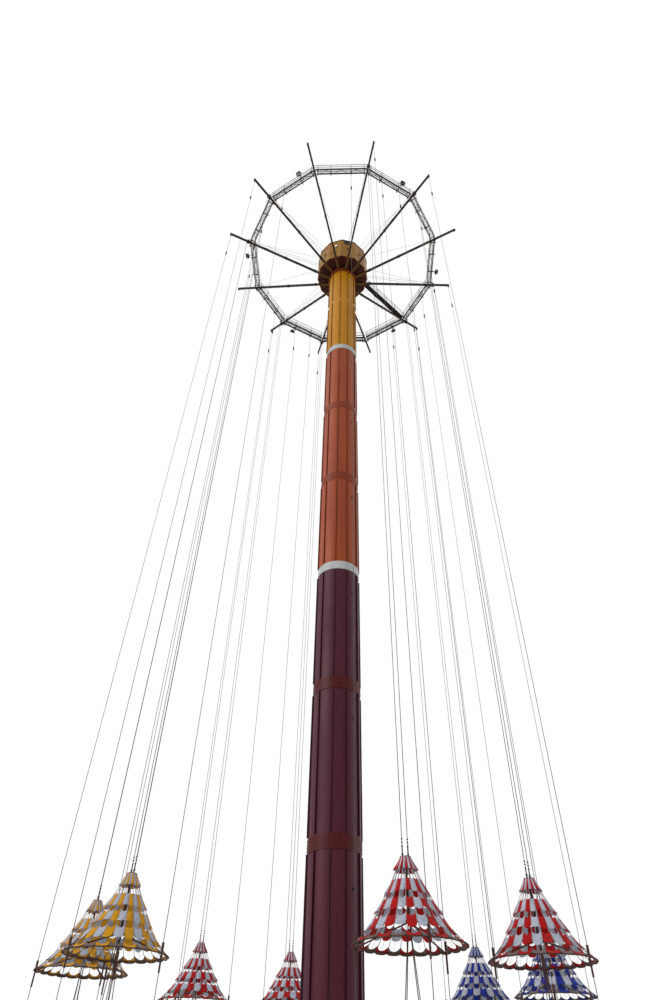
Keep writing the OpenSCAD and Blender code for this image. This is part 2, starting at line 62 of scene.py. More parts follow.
def spot(azimuth, radius, height=0.0):
    turn = math.radians(azimuth)
    return Vector((radius * math.sin(turn), -radius * math.cos(turn), height))


def turnedTo(azimuth):  # takes +X out to the azimuth
    return Matrix.Rotation(math.radians(azimuth - 90), 4, "Z")


def towardsArm(count):  # takes +X out along an arm, or between two arms where the count ends in a half
    return turnedTo(tower["firstArm"] + tower["armStep"] * count)


def edgesOf(verts):
    return list({edge for vert in verts for edge in vert.link_edges})


def facesOf(verts):
    return {face for vert in verts for face in vert.link_faces}


def addBox(mesh, middle, size, place=Matrix()):
    matrix = place @ Matrix.Translation(middle) @ Matrix.Diagonal((*size, 1))
    return bmesh.ops.create_cube(mesh, size=1, matrix=matrix)["verts"]


def soften(mesh, verts, offset, segments=2):
    bmesh.ops.bevel(mesh, geom=edgesOf(verts), offset=offset, affect="EDGES", segments=segments, profile=0.5,
                    material=-1)


def along(start, end):  # a matrix whose Z runs from start to end, with its origin halfway
    start, end = Vector(start), Vector(end)
    return Matrix.Translation((start + end) / 2) @ (end - start).to_track_quat("Z", "Y").to_matrix().to_4x4()


def addRod(mesh, start, end, radius, sides=8, place=Matrix()):
    length = (Vector(end) - Vector(start)).length
    return bmesh.ops.create_cone(mesh, cap_ends=True, segments=sides, radius1=radius, radius2=radius,
                                 depth=length, matrix=place @ along(start, end))["verts"]


def addFlat(mesh, start, end, width, depth, place=Matrix()):  # a flat bar between two points
    length = (Vector(end) - Vector(start)).length
    matrix = place @ along(start, end) @ Matrix.Diagonal((width, depth, length, 1))
    return bmesh.ops.create_cube(mesh, size=1, matrix=matrix)["verts"]


def addBolt(mesh, middle, outward, radius, height):
    return addRod(mesh, middle, Vector(middle) + Vector(outward) * height, radius, sides=6)


def addRing(mesh, radius, height, tube, steps, sides=8):
    upright = Matrix.Translation((radius, 0, height)) @ Matrix.Rotation(math.pi / 2, 4, "X")
    made = bmesh.ops.create_circle(mesh, segments=sides, radius=tube, matrix=upright)
    bmesh.ops.spin(mesh, geom=made["verts"] + edgesOf(made["verts"]), cent=(0, 0, 0), axis=(0, 0, 1),
                   angle=2 * math.pi, steps=steps, use_merge=True, use_duplicate=False)


def makePiece(mesh, name, body, materials, smooth=False):
    bmesh.ops.recalc_face_normals(mesh, faces=mesh.faces)
    for face in mesh.faces:
        face.smooth = smooth
    data = bpy.data.meshes.new(name)
    mesh.to_mesh(data)
    mesh.free()
    for finish in materials:
        data.materials.append(finish)
    piece = bpy.data.objects.new(name, data)
    scene.collection.objects.link(piece)
    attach(piece, body)
    return piece


photoCamera = dict(
    place=(-0.2825, -18.8806, 1.1005), pitchUp=42.3595, roll=1.3613, lens=23.4269, shift=(0.0014, 0.0047),
    sensor=36, farthest=500)


def addCamera(plan):
    lens = bpy.data.cameras.new("photoCamera")
    lens.sensor_fit = "AUTO"
    lens.sensor_width = plan["sensor"]
    lens.lens = plan["lens"]
    lens.shift_x, lens.shift_y = plan["shift"]
    lens.clip_end = plan["farthest"]
    camera = bpy.data.objects.new("photoCamera", lens)
    tilt = Matrix.Rotation(math.radians(90 + plan["pitchUp"]), 4, "X")
    roll = Matrix.Rotation(math.radians(plan["roll"]), 4, "Z")
    camera.matrix_world = Matrix.Translation(plan["place"]) @ tilt @ roll
    scene.collection.objects.link(camera)
    scene.camera = camera


addCamera(photoCamera)
print("camera set")


def linear(colour):  # red, green and blue, 0 to 255, as the shader wants them
    return tuple(((c / 255 + 0.055) / 1.055) ** 2.4 if c > 10 else c / 255 / 12.92 for c in colour) + (1,)


def darker(colour, share):
    return tuple(c * share for c in colour[:3]) + (1,)


def addNode(tree, kind, values=None, **settings):
    node = tree.nodes.new(kind)
    for key, value in settings.items():
        setattr(node, key, value)
    for key, value in (values or {}).items():
        node.inputs[key].default_value = value
    return node


def feed(tree, value, socket):  # the value is a plain one, or what another node puts out
    if isinstance(value, bpy.types.NodeSocket):
        tree.links.new(value, socket)
    else:
        socket.default_value = value


def addMath(tree, operation, *values):
    node = addNode(tree, "ShaderNodeMath", operation=operation)
    for number, value in enumerate(values):
        feed(tree, value, node.inputs[number])
    return node.outputs[0]


def newMaterial(name, **shader):
    made = bpy.data.materials.new(name)
    made.use_nodes = True
    surface = made.node_tree.nodes["Principled BSDF"]
    for key, value in shader.items():
        surface.inputs[key.replace("_", " ")].default_value = value
    return made, made.node_tree, surface


def spread(tree, value, low, high, outLow=0.0, outHigh=1.0):
    node = addNode(tree, "ShaderNodeMapRange",
                   {"From Min": low, "From Max": high, "To Min": outLow, "To Max": outHigh})
    tree.links.new(value, node.inputs["Value"])
    return node.outputs["Result"]


def objectPoint(tree, stretch=(1, 1, 1), slant=(0, 0, 0)):
    where = addNode(tree, "ShaderNodeTexCoord")
    mapping = addNode(tree, "ShaderNodeMapping", {"Scale": stretch, "Rotation": slant})
    tree.links.new(where.outputs["Object"], mapping.inputs["Vector"])
    return mapping.outputs["Vector"]


def mottle(tree, scale, stretch=(1, 1, 1), low=0.4, high=0.6, detail=6):
    cloud = addNode(tree, "ShaderNodeTexNoise", {"Scale": scale, "Detail": detail, "Roughness": 0.6})
    tree.links.new(objectPoint(tree, stretch), cloud.inputs["Vector"])
    return spread(tree, cloud.outputs["Fac"], low, high)


def blendColours(tree, factor, first, second):
    node = addNode(tree, "ShaderNodeMix", data_type="RGBA")
    for value, socket in ((factor, 0), (first, 6), (second, 7)):  # 6 and 7 are the mix node's two colours
        feed(tree, value, node.inputs[socket])
    return node.outputs[2]


def addBump(tree, surface, height, strength, distance):
    bump = addNode(tree, "ShaderNodeBump", {"Strength": strength, "Distance": distance})
    tree.links.new(height, bump.inputs["Height"])
    tree.links.new(bump.outputs["Normal"], surface.inputs["Normal"])


paintLook = dict(
    specular=0.18, patches=dict(scale=0.55, stretch=(1, 1, 0.5), low=0.35, high=0.68),
    runs=dict(scale=1.0, stretch=(7, 7, 0.22), low=0.5, high=0.78, detail=8),
    specks=dict(scale=26, low=0.62, high=0.7), speckShare=0.6, smoother=0.07, rougher=0.14,
    grain=dict(scale=60, low=0.3, high=0.7), relief=0.12, depth=0.002)


def weatheredPaint(name, paint, faded, dirt, streaks=0.45, rough=0.45):
    look = paintLook
    made, tree, surface = newMaterial(name, Specular_IOR_Level=look["specular"])
    patches = mottle(tree, **look["patches"])
    colour = blendColours(tree, patches, linear(paint), linear(faded))
    runs = spread(tree, mottle(tree, **look["runs"]), 0, 1, 0, streaks)
    colour = blendColours(tree, runs, colour, linear(dirt))
    specks = spread(tree, mottle(tree, **look["specks"]), 0, 1, 0, look["speckShare"])
    colour = blendColours(tree, specks, colour, linear(dirt))
    tree.links.new(colour, surface.inputs["Base Color"])
    roughness = spread(tree, patches, 0, 1, rough - look["smoother"], rough + look["rougher"])
    tree.links.new(roughness, surface.inputs["Roughness"])
    addBump(tree, surface, mottle(tree, **look["grain"]), look["relief"], look["depth"])
    return made


rustLook = dict(
    specular=0.25, wornScale=9, wornDetail=9, wornBelow=0.06, wornAbove=0.05,
    tone=dict(scale=2.2, stretch=(1, 1, 0.6), low=0.35, high=0.7), shade=0.72, rustRough=0.9, relief=0.25,
    depth=0.002)


def rustySteel(name, paint, rust, share=0.62, rough=0.6):
    look = rustLook
    made, tree, surface = newMaterial(name, Specular_IOR_Level=look["specular"])
    worn = mottle(tree, look["wornScale"], low=share - look["wornBelow"], high=share + look["wornAbove"],
                  detail=look["wornDetail"])
    tone = mottle(tree, **look["tone"])
    base = blendColours(tree, tone, linear(paint), darker(linear(paint), look["shade"]))
    tree.links.new(blendColours(tree, worn, base, linear(rust)), surface.inputs["Base Color"])
    tree.links.new(spread(tree, worn, 0, 1, rough, look["rustRough"]), surface.inputs["Roughness"])
    addBump(tree, surface, worn, look["relief"], look["depth"])
    return made


zincLook = dict(
    metal=0.6, spangleScale=45.0, spangleReach=0.7, bright=(150, 154, 156), dull=(108, 112, 116),
    dirt=dict(scale=3.5, low=0.5, high=0.75), dirtShare=0.6, dirtColour=(84, 74, 62), rough=(0.42, 0.6))


def galvanisedSteel(name):
    look = zincLook
    made, tree, surface = newMaterial(name, Metallic=look["metal"])
    cells = addNode(tree, "ShaderNodeTexVoronoi", {"Scale": look["spangleScale"]})
    tree.links.new(objectPoint(tree), cells.inputs["Vector"])
    spangle = spread(tree, cells.outputs["Distance"], 0, look["spangleReach"])
    colour = blendColours(tree, spangle, linear(look["bright"]), linear(look["dull"]))
    dirt = spread(tree, mottle(tree, **look["dirt"]), 0, 1, 0, look["dirtShare"])
    colour = blendColours(tree, dirt, colour, linear(look["dirtColour"]))
    tree.links.new(colour, surface.inputs["Base Color"])
    tree.links.new(spread(tree, spangle, 0, 1, *look["rough"]), surface.inputs["Roughness"])
    return made


laidLook = dict(
    metal=0.55, stretch=(1, 1, 1.6), slant=(0.6, 0.6, 0), layScale=30.0, uneven=0.6, wearScale=5,
    rough=(0.45, 0.7), relief=0.5, depth=0.003)


def laidRope(name, strand, gap):
    look = laidLook
    made, tree, surface = newMaterial(name, Metallic=look["metal"])
    lay = addNode(tree, "ShaderNodeTexWave", {"Scale": look["layScale"], "Distortion": look["uneven"]},
                  bands_direction="Z")
    tree.links.new(objectPoint(tree, look["stretch"], look["slant"]), lay.inputs["Vector"])
    colour = blendColours(tree, lay.outputs["Fac"], linear(gap), linear(strand))
    tree.links.new(colour, surface.inputs["Base Color"])
    wear = spread(tree, mottle(tree, look["wearScale"]), 0, 1, *look["rough"])
    tree.links.new(wear, surface.inputs["Roughness"])
    addBump(tree, surface, lay.outputs["Fac"], look["relief"], look["depth"])
    return made


clothLook = dict(
    rough=0.85, specular=0.12, sheen=0.08, sunlit=dict(scale=1.4, low=0.35, high=0.7),
    stains=dict(scale=7, stretch=(1, 1, 0.5), low=0.52, high=0.8), stainShare=0.55, seamShadeFrom=0.38,
    seamShadeShare=0.45, creases=dict(scale=12, stretch=(1, 1, 0.35), low=0.35, high=0.65), threads=(90, 260, 1),
    weaveShare=0.12, relief=0.3, depth=0.006)


def canvas(name, dye, faded, soilAndSeamShade):  # reads the cloth's own UV map: gores round it, metres down it
    look = clothLook
    made, tree, surface = newMaterial(name, Roughness=look["rough"], Specular_IOR_Level=look["specular"],
                                      Sheen_Weight=look["sheen"])
    uv = addNode(tree, "ShaderNodeUVMap", uv_map="cloth")
    split = addNode(tree, "ShaderNodeSeparateXYZ")
    tree.links.new(uv.outputs["UV"], split.inputs["Vector"])
    colour = blendColours(tree, mottle(tree, **look["sunlit"]), linear(dye), linear(faded))
    stains = spread(tree, mottle(tree, **look["stains"]), 0, 1, 0, look["stainShare"])
    colour = blendColours(tree, stains, colour, linear(soilAndSeamShade))
    across = addMath(tree, "SUBTRACT", addMath(tree, "FRACT", split.outputs["X"]), 0.5)
    seam = addMath(tree, "ABSOLUTE", across)  # 0.5 on a seam, 0 in the middle of a gore
    # painted shade: the cloth darkens with the soil colour towards each seam, where it pulls in between the
    # gores
    edge = spread(tree, seam, look["seamShadeFrom"], 0.5, 0, look["seamShadeShare"])
    colour = blendColours(tree, edge, colour, linear(soilAndSeamShade))
    tree.links.new(colour, surface.inputs["Base Color"])
    weave = addNode(tree, "ShaderNodeTexChecker", {"Scale": 1.0})
    threads = addNode(tree, "ShaderNodeMapping", {"Scale": look["threads"]})
    tree.links.new(uv.outputs["UV"], threads.inputs["Vector"])
    tree.links.new(threads.outputs["Vector"], weave.inputs["Vector"])
    creases = mottle(tree, **look["creases"])
    relief = addMath(tree, "MULTIPLY_ADD", weave.outputs["Fac"], look["weaveShare"], creases)
    addBump(tree, surface, relief, look["relief"], look["depth"])
    return made


cordLook = dict(
    rough=0.8, specular=0.2, braid=dict(scale=70, stretch=(1, 1, 0.5), low=0.35, high=0.65), relief=0.4,
    depth=0.002)


def braidedCord(name, light, dark):
    look = cordLook
    made, tree, surface = newMaterial(name, Roughness=look["rough"], Specular_IOR_Level=look["specular"])
    braid = mottle(tree, **look["braid"])
    tree.links.new(blendColours(tree, braid, linear(dark), linear(light)), surface.inputs["Base Color"])
    addBump(tree, surface, braid, look["relief"], look["depth"])
    return made


glassLook = dict(rough=0.12, ribScale=26.0, relief=0.4, depth=0.003)


def lampGlass(name, dark, light, glow=0.0):
    look = glassLook
    made, tree, surface = newMaterial(name, Roughness=look["rough"], Emission_Strength=glow)
    ribs = addNode(tree, "ShaderNodeTexWave", {"Scale": look["ribScale"]})
    tree.links.new(objectPoint(tree), ribs.inputs["Vector"])
    colour = blendColours(tree, ribs.outputs["Fac"], linear(dark), linear(light))
    tree.links.new(colour, surface.inputs["Base Color"])
    addBump(tree, surface, ribs.outputs["Fac"], look["relief"], look["depth"])
    return made


# Colours in order: weathered paint has paint, faded paint and dirt, steel has paint and rust, and canvas has
# dye, faded dye and a soil colour, which also paints the shade along the seams
# Dark rubber, which also paints the shade in the hatch openings and the port bores
rubberAndShade = rustySteel("bufferRubberAndShade", (34, 33, 34), (58, 55, 52), share=0.7, rough=0.75)
finishes = {
    "column_maroon": weatheredPaint("maroonPaint", (82, 26, 38), (74, 28, 48), (34, 10, 20)),
    "column_orange": weatheredPaint("orangePaint", (168, 76, 34), (156, 72, 44), (84, 32, 20)),
    "column_yellow": weatheredPaint("yellowPaint", (202, 138, 4), (188, 124, 10), (112, 64, 8)),
    "collar_red": weatheredPaint("collarPaint", (72, 12, 16), (86, 20, 20), (30, 6, 10)),
    "collar_orange": weatheredPaint("upperCollarPaint", (146, 62, 28), (132, 58, 34), (72, 26, 16)),
    "band_white": weatheredPaint("bandPaint", (196, 200, 198), (176, 180, 180), (122, 112, 106)),
    "head_yellow": weatheredPaint("headPaint", (166, 116, 4), (144, 96, 6), (78, 44, 8), streaks=0.6),
    "head_dark": weatheredPaint("headFloorPaint", (66, 26, 22), (78, 34, 26), (24, 10, 10)),
    "arm_paint": rustySteel("armPaint", (60, 42, 26), (44, 26, 16)),
    "catwalk_paint": rustySteel("catwalkPaint", (46, 37, 31), (48, 30, 22)),
    "grating": rustySteel("gratingSteel", (68, 61, 54), (54, 38, 28)),
    "black_steel": rustySteel("sheaveSteel", (44, 42, 42), (70, 50, 40)),
    "rope_steel": laidRope("ropeSteel", (86, 88, 92), (34, 35, 38)),
    "buffer_rubber": rubberAndShade,
    "galvanised": galvanisedSteel("zincSteel"),
    "lamp_black": rustySteel("lampPaint", (32, 33, 36), (58, 52, 46), share=0.72, rough=0.45),
    "gondola_paint": rustySteel("gondolaPaint", (74, 42, 34), (50, 34, 28), share=0.68, rough=0.42),
}
# Painted shade: darker copies of the column paints for the ribs' cast shadows and shaded sides; the orange
# one also colours the bolts of the upper collars
paintedShade = {
    "Maroon": weatheredPaint("maroonPaintedShade", (46, 12, 24), (54, 18, 32), (24, 8, 14)),
    "Orange": weatheredPaint("orangeShadeAndBoltPaint", (98, 38, 18), (110, 48, 24), (52, 20, 12)),
    "Yellow": weatheredPaint("yellowPaintedShade", (116, 68, 8), (128, 80, 14), (64, 34, 8)),
}
patchPaint = weatheredPaint("patchPaint", (146, 88, 18), (132, 74, 20), (72, 34, 12), rough=0.6)
slatPaint = rustySteel("slatPaint", (120, 70, 34), (84, 50, 28), share=0.6, rough=0.5)
collarBolt = weatheredPaint("collarBoltPaint", (100, 24, 22), (112, 34, 26), (40, 10, 12))
whiteCanvas = canvas("whiteCanvas", (192, 197, 210), (172, 178, 194), (112, 104, 104))
dyedCanvas = {
    "canopy_red": canvas("redCanvas", (174, 10, 16), (184, 26, 26), (74, 8, 14)),
    "canopy_blue": canvas("blueCanvas", (24, 40, 138), (38, 60, 160), (16, 20, 62)),
    "canopy_yellow": canvas("yellowCanvas", (212, 148, 14), (220, 164, 40), (116, 74, 18)),
}
tapeCanvas = canvas("seamTape", (178, 160, 166), (160, 142, 148), (98, 80, 84))
# Painted shade: the white gores of the lowest tier take this darker canvas, for the shade the hem band lies
# in
shadedHemCanvas = canvas("shadedHemCanvas", (112, 92, 90), (132, 118, 118), (62, 44, 42))
netCord = braidedCord("netCord", (92, 70, 58), (44, 30, 26))
lensGlass = lampGlass("lampGlass", (36, 40, 46), (74, 80, 88))
litGlass = lampGlass("litLampGlass", (225, 222, 205), (250, 248, 235), glow=1.2)
slots = {row["node"]: row["material_slot"] for row in frame["record"]["subparts"]}


def dressCadNodes():
    for node, piece in frame["nodes"].items():
        finish = finishes.get(slots[node], finishes["galvanised"])
        piece.data.materials.clear()
        piece.data.materials.append(finish)


def fixToTower(mesh, name, slot):
    return makePiece(mesh, name, "tower", [finishes[slot]])


dressCadNodes()
print("materials made")


# The profile runs down from the crown, as heights and radii. A tier has its upper edge's height at the seams,
# its lower edge's in the middle of a gore, its round tongue's depth, its upper edge's dip, how far the tongue
# blows outward, and its rows of faces
canopyPlan = dict(
    gores=24, across=8, crownZ=4.425,
    profile=((4.425, 0.097), (4.21, 0.188), (4.0, 0.29), (3.85, 0.38), (3.7, 0.464), (3.5, 0.586),
             (3.4, 0.647), (3.3, 0.713), (3.2, 0.792), (3.12, 0.911), (3.035, 1.0)),
    tiers=((4.425, 4.2, 0.018, 0.0, 0.028, 7), (4.05, 3.8, 0.045, 0.028, 0.02, 7),
           (3.735, 3.507, 0.055, 0.05, 0.026, 7), (3.45, 3.215, 0.07, 0.06, 0.03, 7),
           (3.15, 3.042, 0.022, 0.062, 0.008, 5)),
    puff=0.008, ripple=0.008, rippleScale=7, hang=0.022, gust=0.9,
    gustScale=(7.31, 11.7), seedStep=3.1, thickness=0.003, weld=0.0002, tapeWidth=0.011, tapeRows=36,
    tapeLow=3.284, tapeProud=0.004, guides=3, guideR=0.97, guideHole=0.034, guideBulge=0.012,
    guideSpread=0.055, seamCord=0.0055, middleCord=0.002, cordSides=5, cordLap=0.012, hemRope=0.0105,
    hemSteps=192, slope=1.68, hemAllowance=1.02)
clothSlots = dict(dyed=0, white=1, tape=2, hem=3)


def coneRadius(height):
    profile = canopyPlan["profile"]
    for (highZ, highR), (lowZ, lowR) in zip(profile, profile[1:]):
        if height >= lowZ:
            break
    return highR + (lowR - highR) * (highZ - height) / (highZ - lowZ)


def chuteAxis(number):
    low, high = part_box(f"hoist_ropes_{number}")
    return Vector(((low.x + high.x) / 2, (low.y + high.y) / 2, 0))


def chuteTurn(number):  # takes a canopy's own +X out along its arm
    axis = chuteAxis(number)
    return Matrix.Translation(axis) @ Matrix.Rotation(math.atan2(axis.y, axis.x), 4, "Z")


def guideClear(turn, height):  # the hem's rope passes outside the three guide tubes
    plan = canopyPlan
    high, low = plan["tiers"][-1][:2]
    away = (turn * plan["guides"] + 0.5) % 1 - 0.5
    share = min(1.0, max(0.0, (high - height) / (high - low)))
    spreads = away * 2 * math.pi / plan["guides"] / plan["guideSpread"]
    return share * plan["guideBulge"] * math.exp(-spreads ** 2)


def clothPoint(tier, turn, rise, seed):  # turn counts rounds from the arm's side, rise runs up the tier
    plan = canopyPlan
    gores, (goreStep, tierStep) = plan["gores"], plan["gustScale"]
    top, bottom, tongue, scoop, blow, _ = tier
    gore = math.floor(turn * gores + 0.5) % gores
    wind = 2 * noise.noise(Vector((gore * goreStep, top * tierStep, seed)))  # no two gores hang alike
    blow *= 1 + plan["gust"] * wind
    half = math.pi / gores
    cross = 2 * ((turn * gores + 0.5) % 1) - 1  # -1 and 1 on the seams, 0 between them
    arch = max(0.0, 1 - cross * cross)
    height = bottom + (top - bottom) * rise
    height += tongue * (1 - rise) * (1 - math.sqrt(arch)) - scoop * rise * arch
    if tier is not plan["tiers"][-1]:
        height += plan["hang"] * wind * arch * (1 - rise) ** 2
    radius = coneRadius(height) * math.cos(half) / math.cos(cross * half)
    radius += (plan["puff"] + blow * (1 - rise) ** 1.5) * arch + guideClear(turn, height)
    angle = 2 * math.pi * turn
    return Vector((radius * math.cos(angle), radius * math.sin(angle), height)), arch


def bendTier(mesh, tier, uv, seed):  # a flat grid, one square unit, wrapped round the cone
    plan, lowest = canopyPlan, tier is canopyPlan["tiers"][-1]
    top, bottom, rows = tier[0], tier[1], tier[5]
    gores = plan["gores"]
    made = bmesh.ops.create_grid(mesh, x_segments=gores * plan["across"], y_segments=rows, size=0.5)
    for face in facesOf(made["verts"]):
        white = int((face.calc_center_median().x + 0.5) * gores) % 2
        colour = "white" if white else "dyed"
        # the lowest tier's white gores take the canvas with painted shade
        face.material_index = clothSlots["hem" if white and lowest else colour]
        for loop in face.loops:
            down = plan["crownZ"] - top + (top - bottom) * (0.5 - loop.vert.co.y)
            loop[uv].uv = ((loop.vert.co.x + 0.5) * gores, down)
    for vert in made["verts"]:
        turn = vert.co.x + 0.5 + 0.5 / gores
        point, arch = clothPoint(tier, turn, vert.co.y + 0.5, seed)
        flutter = noise.noise(point * plan["rippleScale"] + Vector((seed, 0, 0))) * plan["ripple"] * arch
        vert.co = point + Vector((point.x, point.y, 0)).normalized() * flutter
    if lowest:
        cutGuideHoles(mesh, made["verts"])
    bmesh.ops.remove_doubles(mesh, verts=[vert for vert in made["verts"] if vert.is_valid], dist=plan["weld"])


def cutGuideHoles(mesh, verts):
    plan = canopyPlan
    guides = [Matrix.Rotation(2 * math.pi * k / plan["guides"], 3, "Z") @ Vector((plan["guideR"], 0, 0))
              for k in range(plan["guides"])]
    holes = [face for face in facesOf(verts)
             if any((face.calc_center_median() - guide).xy.length < plan["guideHole"] for guide in guides)]
    bmesh.ops.delete(mesh, geom=holes, context="FACES")


def addTape(mesh, turn, uv):
    plan = canopyPlan
    made = bmesh.ops.create_grid(mesh, x_segments=2, y_segments=plan["tapeRows"], size=0.5)
    length = plan["crownZ"] - plan["tapeLow"]
    for face in facesOf(made["verts"]):
        face.material_index = clothSlots["tape"]
        for loop in face.loops:
            loop[uv].uv = (0.5 + loop.vert.co.x * 0.5, (0.5 - loop.vert.co.y) * length)
    swing = Matrix.Rotation(2 * math.pi * turn, 4, "Z")
    for vert in made["verts"]:
        height = plan["tapeLow"] + length * (vert.co.y + 0.5)
        radius = coneRadius(height) + plan["tapeProud"]
        vert.co = swing @ Vector((radius, vert.co.x * plan["tapeWidth"], height))


def makeCanopy(number):
    plan, mesh = canopyPlan, bmesh.new()
    uv = mesh.loops.layers.uv.new("cloth")
    for tier in plan["tiers"]:
        bendTier(mesh, tier, uv, number * plan["seedStep"])
    for gore in range(plan["gores"]):
        addTape(mesh, (gore + 0.5) / plan["gores"], uv)
    area = sum(face.calc_area() for face in mesh.faces)
    bmesh.ops.transform(mesh, verts=mesh.verts, matrix=chuteTurn(number))
    materials = [dyedCanvas[slots[f"canopy_{number}"]], whiteCanvas, tapeCanvas, shadedHemCanvas]
    cloth = makePiece(mesh, f"canopyCloth{number}", f"chute_{number}", materials, smooth=True)
    wall = cloth.modifiers.new("clothThickness", "SOLIDIFY")
    wall.thickness = plan["thickness"]
    wall.offset = 0
    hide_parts(f"canopy_{number}")
    return cloth, area


def makeCords(number):  # cords from the lowest tongues to the hem, and the rope in the hem
    plan, mesh, seed = canopyPlan, bmesh.new(), number * canopyPlan["seedStep"]
    (low, hem), gores, lap = plan["tiers"][-2:], plan["gores"], Vector((0, 0, plan["cordLap"]))
    for gore in range(gores):
        for turn, radius in (((gore + 0.5) / gores, plan["seamCord"]), (gore / gores, plan["middleCord"])):
            if turn * plan["guides"] % 1 == 0:
                continue  # a guide tube stands here
            top, bottom = clothPoint(low, turn, 0, seed)[0], clothPoint(hem, turn, 1, seed)[0]
            addRod(mesh, top + lap, bottom - lap, radius, sides=plan["cordSides"])
    before = set(mesh.verts)
    addRing(mesh, 1.0, 0.0, plan["hemRope"], steps=plan["hemSteps"])
    for vert in [vert for vert in mesh.verts if vert not in before]:
        edge = clothPoint(hem, math.atan2(vert.co.y, vert.co.x) / (2 * math.pi) % 1, 0, seed)[0]
        out = Vector((vert.co.x, vert.co.y, 0)).normalized()
        vert.co += out * (Vector((edge.x, edge.y, 0)).length - 1.0) + Vector((0, 0, edge.z))
    bmesh.ops.transform(mesh, verts=mesh.verts, matrix=chuteTurn(number))
    return makePiece(mesh, f"canopyCords{number}", f"chute_{number}", [netCord], smooth=True)


ropePlan = dict(radius=0.007, sides=10, lift=0.0015)


def ropeFeet(number):  # where a chute's two hoist ropes end
    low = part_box(f"hoist_ropes_{number}")[0]
    middle = chuteAxis(number)
    vertices = frame["nodes"][f"hoist_ropes_{number}"].data.vertices
    corner = max((vert.co for vert in vertices), key=lambda co: (co.xy - middle.xy).length)
    side = corner.xy - middle.xy
    side = side.normalized() * (side.length - ropePlan["radius"])
    return [Vector((middle.x + way * side.x, middle.y + way * side.y, low.z)) for way in (-1, 1)]


crownPlan = dict(
    hubZ=4.425, hubR=0.1, lugZ=4.46, socketR=0.0125, socketH=0.17, socketSides=12, lipHalf=0.012,
    lowLip=0.015, lowLipWide=1.5, highLipWide=1.3, pinR=0.007, pinZ=0.04, pinReach=0.028, clips=2,
    clipGap=0.05, clipPitch=0.06, clipSize=(0.03, 0.03, 0.016), bolts=12, boltRing=0.78, boltRise=0.009,
    boltR=0.007, boltH=0.008)


def makeCrown(number):  # rope sockets with pins and clips on the lugs, and bolts round the crown plate
    plan, mesh, up = crownPlan, bmesh.new(), Vector((0, 0, 1))
    middle = chuteAxis(number)
    for foot in ropeFeet(number):
        base = Vector((foot.x, foot.y, plan["lugZ"]))
        addRod(mesh, base, base + up * plan["socketH"], plan["socketR"], plan["socketSides"])
        highLip = plan["socketH"] - plan["lipHalf"]
        for lift, wide in ((plan["lowLip"], plan["lowLipWide"]), (highLip, plan["highLipWide"])):
            addRod(mesh, base + up * (lift - plan["lipHalf"]), base + up * (lift + plan["lipHalf"]),
                   plan["socketR"] * wide, plan["socketSides"])
        side = Vector((foot.x - middle.x, foot.y - middle.y, 0)).normalized().cross(up)
        pin = base + up * plan["pinZ"]
        addRod(mesh, pin - side * plan["pinReach"], pin + side * plan["pinReach"], plan["pinR"])
        for clip in range(plan["clips"]):
            grip = base + up * (plan["socketH"] + plan["clipGap"] + plan["clipPitch"] * clip)
            addBox(mesh, grip, plan["clipSize"])
    for step in range(plan["bolts"]):
        angle = 2 * math.pi * step / plan["bolts"]
        out = Vector((math.cos(angle), math.sin(angle), 0))
        point = middle + out * plan["hubR"] * plan["boltRing"] + up * (plan["hubZ"] + plan["boltRise"])
        addBolt(mesh, point, up, plan["boltR"], plan["boltH"])
    makePiece(mesh, f"crownFittings{number}", f"chute_{number}", [finishes["black_steel"]])


benchPlan = dict(
    depth=0.23, width=0.56, seatZ=0.31, seatT=0.022, backH=0.33, backT=0.03, backFace=0.012, backFoot=0.05,
    backTrim=0.06, sideTrim=0.02, slats=5, slatH=0.012, gap=0.012, softEdge=0.003, lapIn=0.02, lapRise=0.15,
    handReach=0.07, gripR=0.019, gripL=0.07, gripSides=12,
    bolts=((-0.11, 0.1), (-0.11, 0.24), (0.1, -0.05), (0.12, -0.12)), boltOut=0.017, boltR=0.007, boltH=0.006)


def makeSlats(number):  # on the seat and on the back
    plan, slats = benchPlan, bmesh.new()
    pitch = (plan["depth"] - plan["backT"]) / plan["slats"]
    backPitch = (plan["backH"] - plan["backTrim"]) / plan["slats"]
    length = plan["width"] - plan["sideTrim"]
    for step in range(plan["slats"]):
        lie = (-plan["depth"] / 2 + plan["backT"] + pitch * (step + 0.5), 0,
               plan["seatZ"] + plan["seatT"] + plan["slatH"] / 2)
        stand = (-plan["depth"] / 2 + plan["backFace"] + plan["slatH"] / 2, 0,
                 plan["seatZ"] + plan["backFoot"] + backPitch * (step + 0.5))
        for middle, size in ((lie, (pitch - plan["gap"], length, plan["slatH"])),
                             (stand, (plan["slatH"], length, backPitch - plan["gap"]))):
            soften(slats, addBox(slats, middle, size, chuteTurn(number)), plan["softEdge"])
    makePiece(slats, f"benchSlats{number}", f"chute_{number}", [slatPaint])


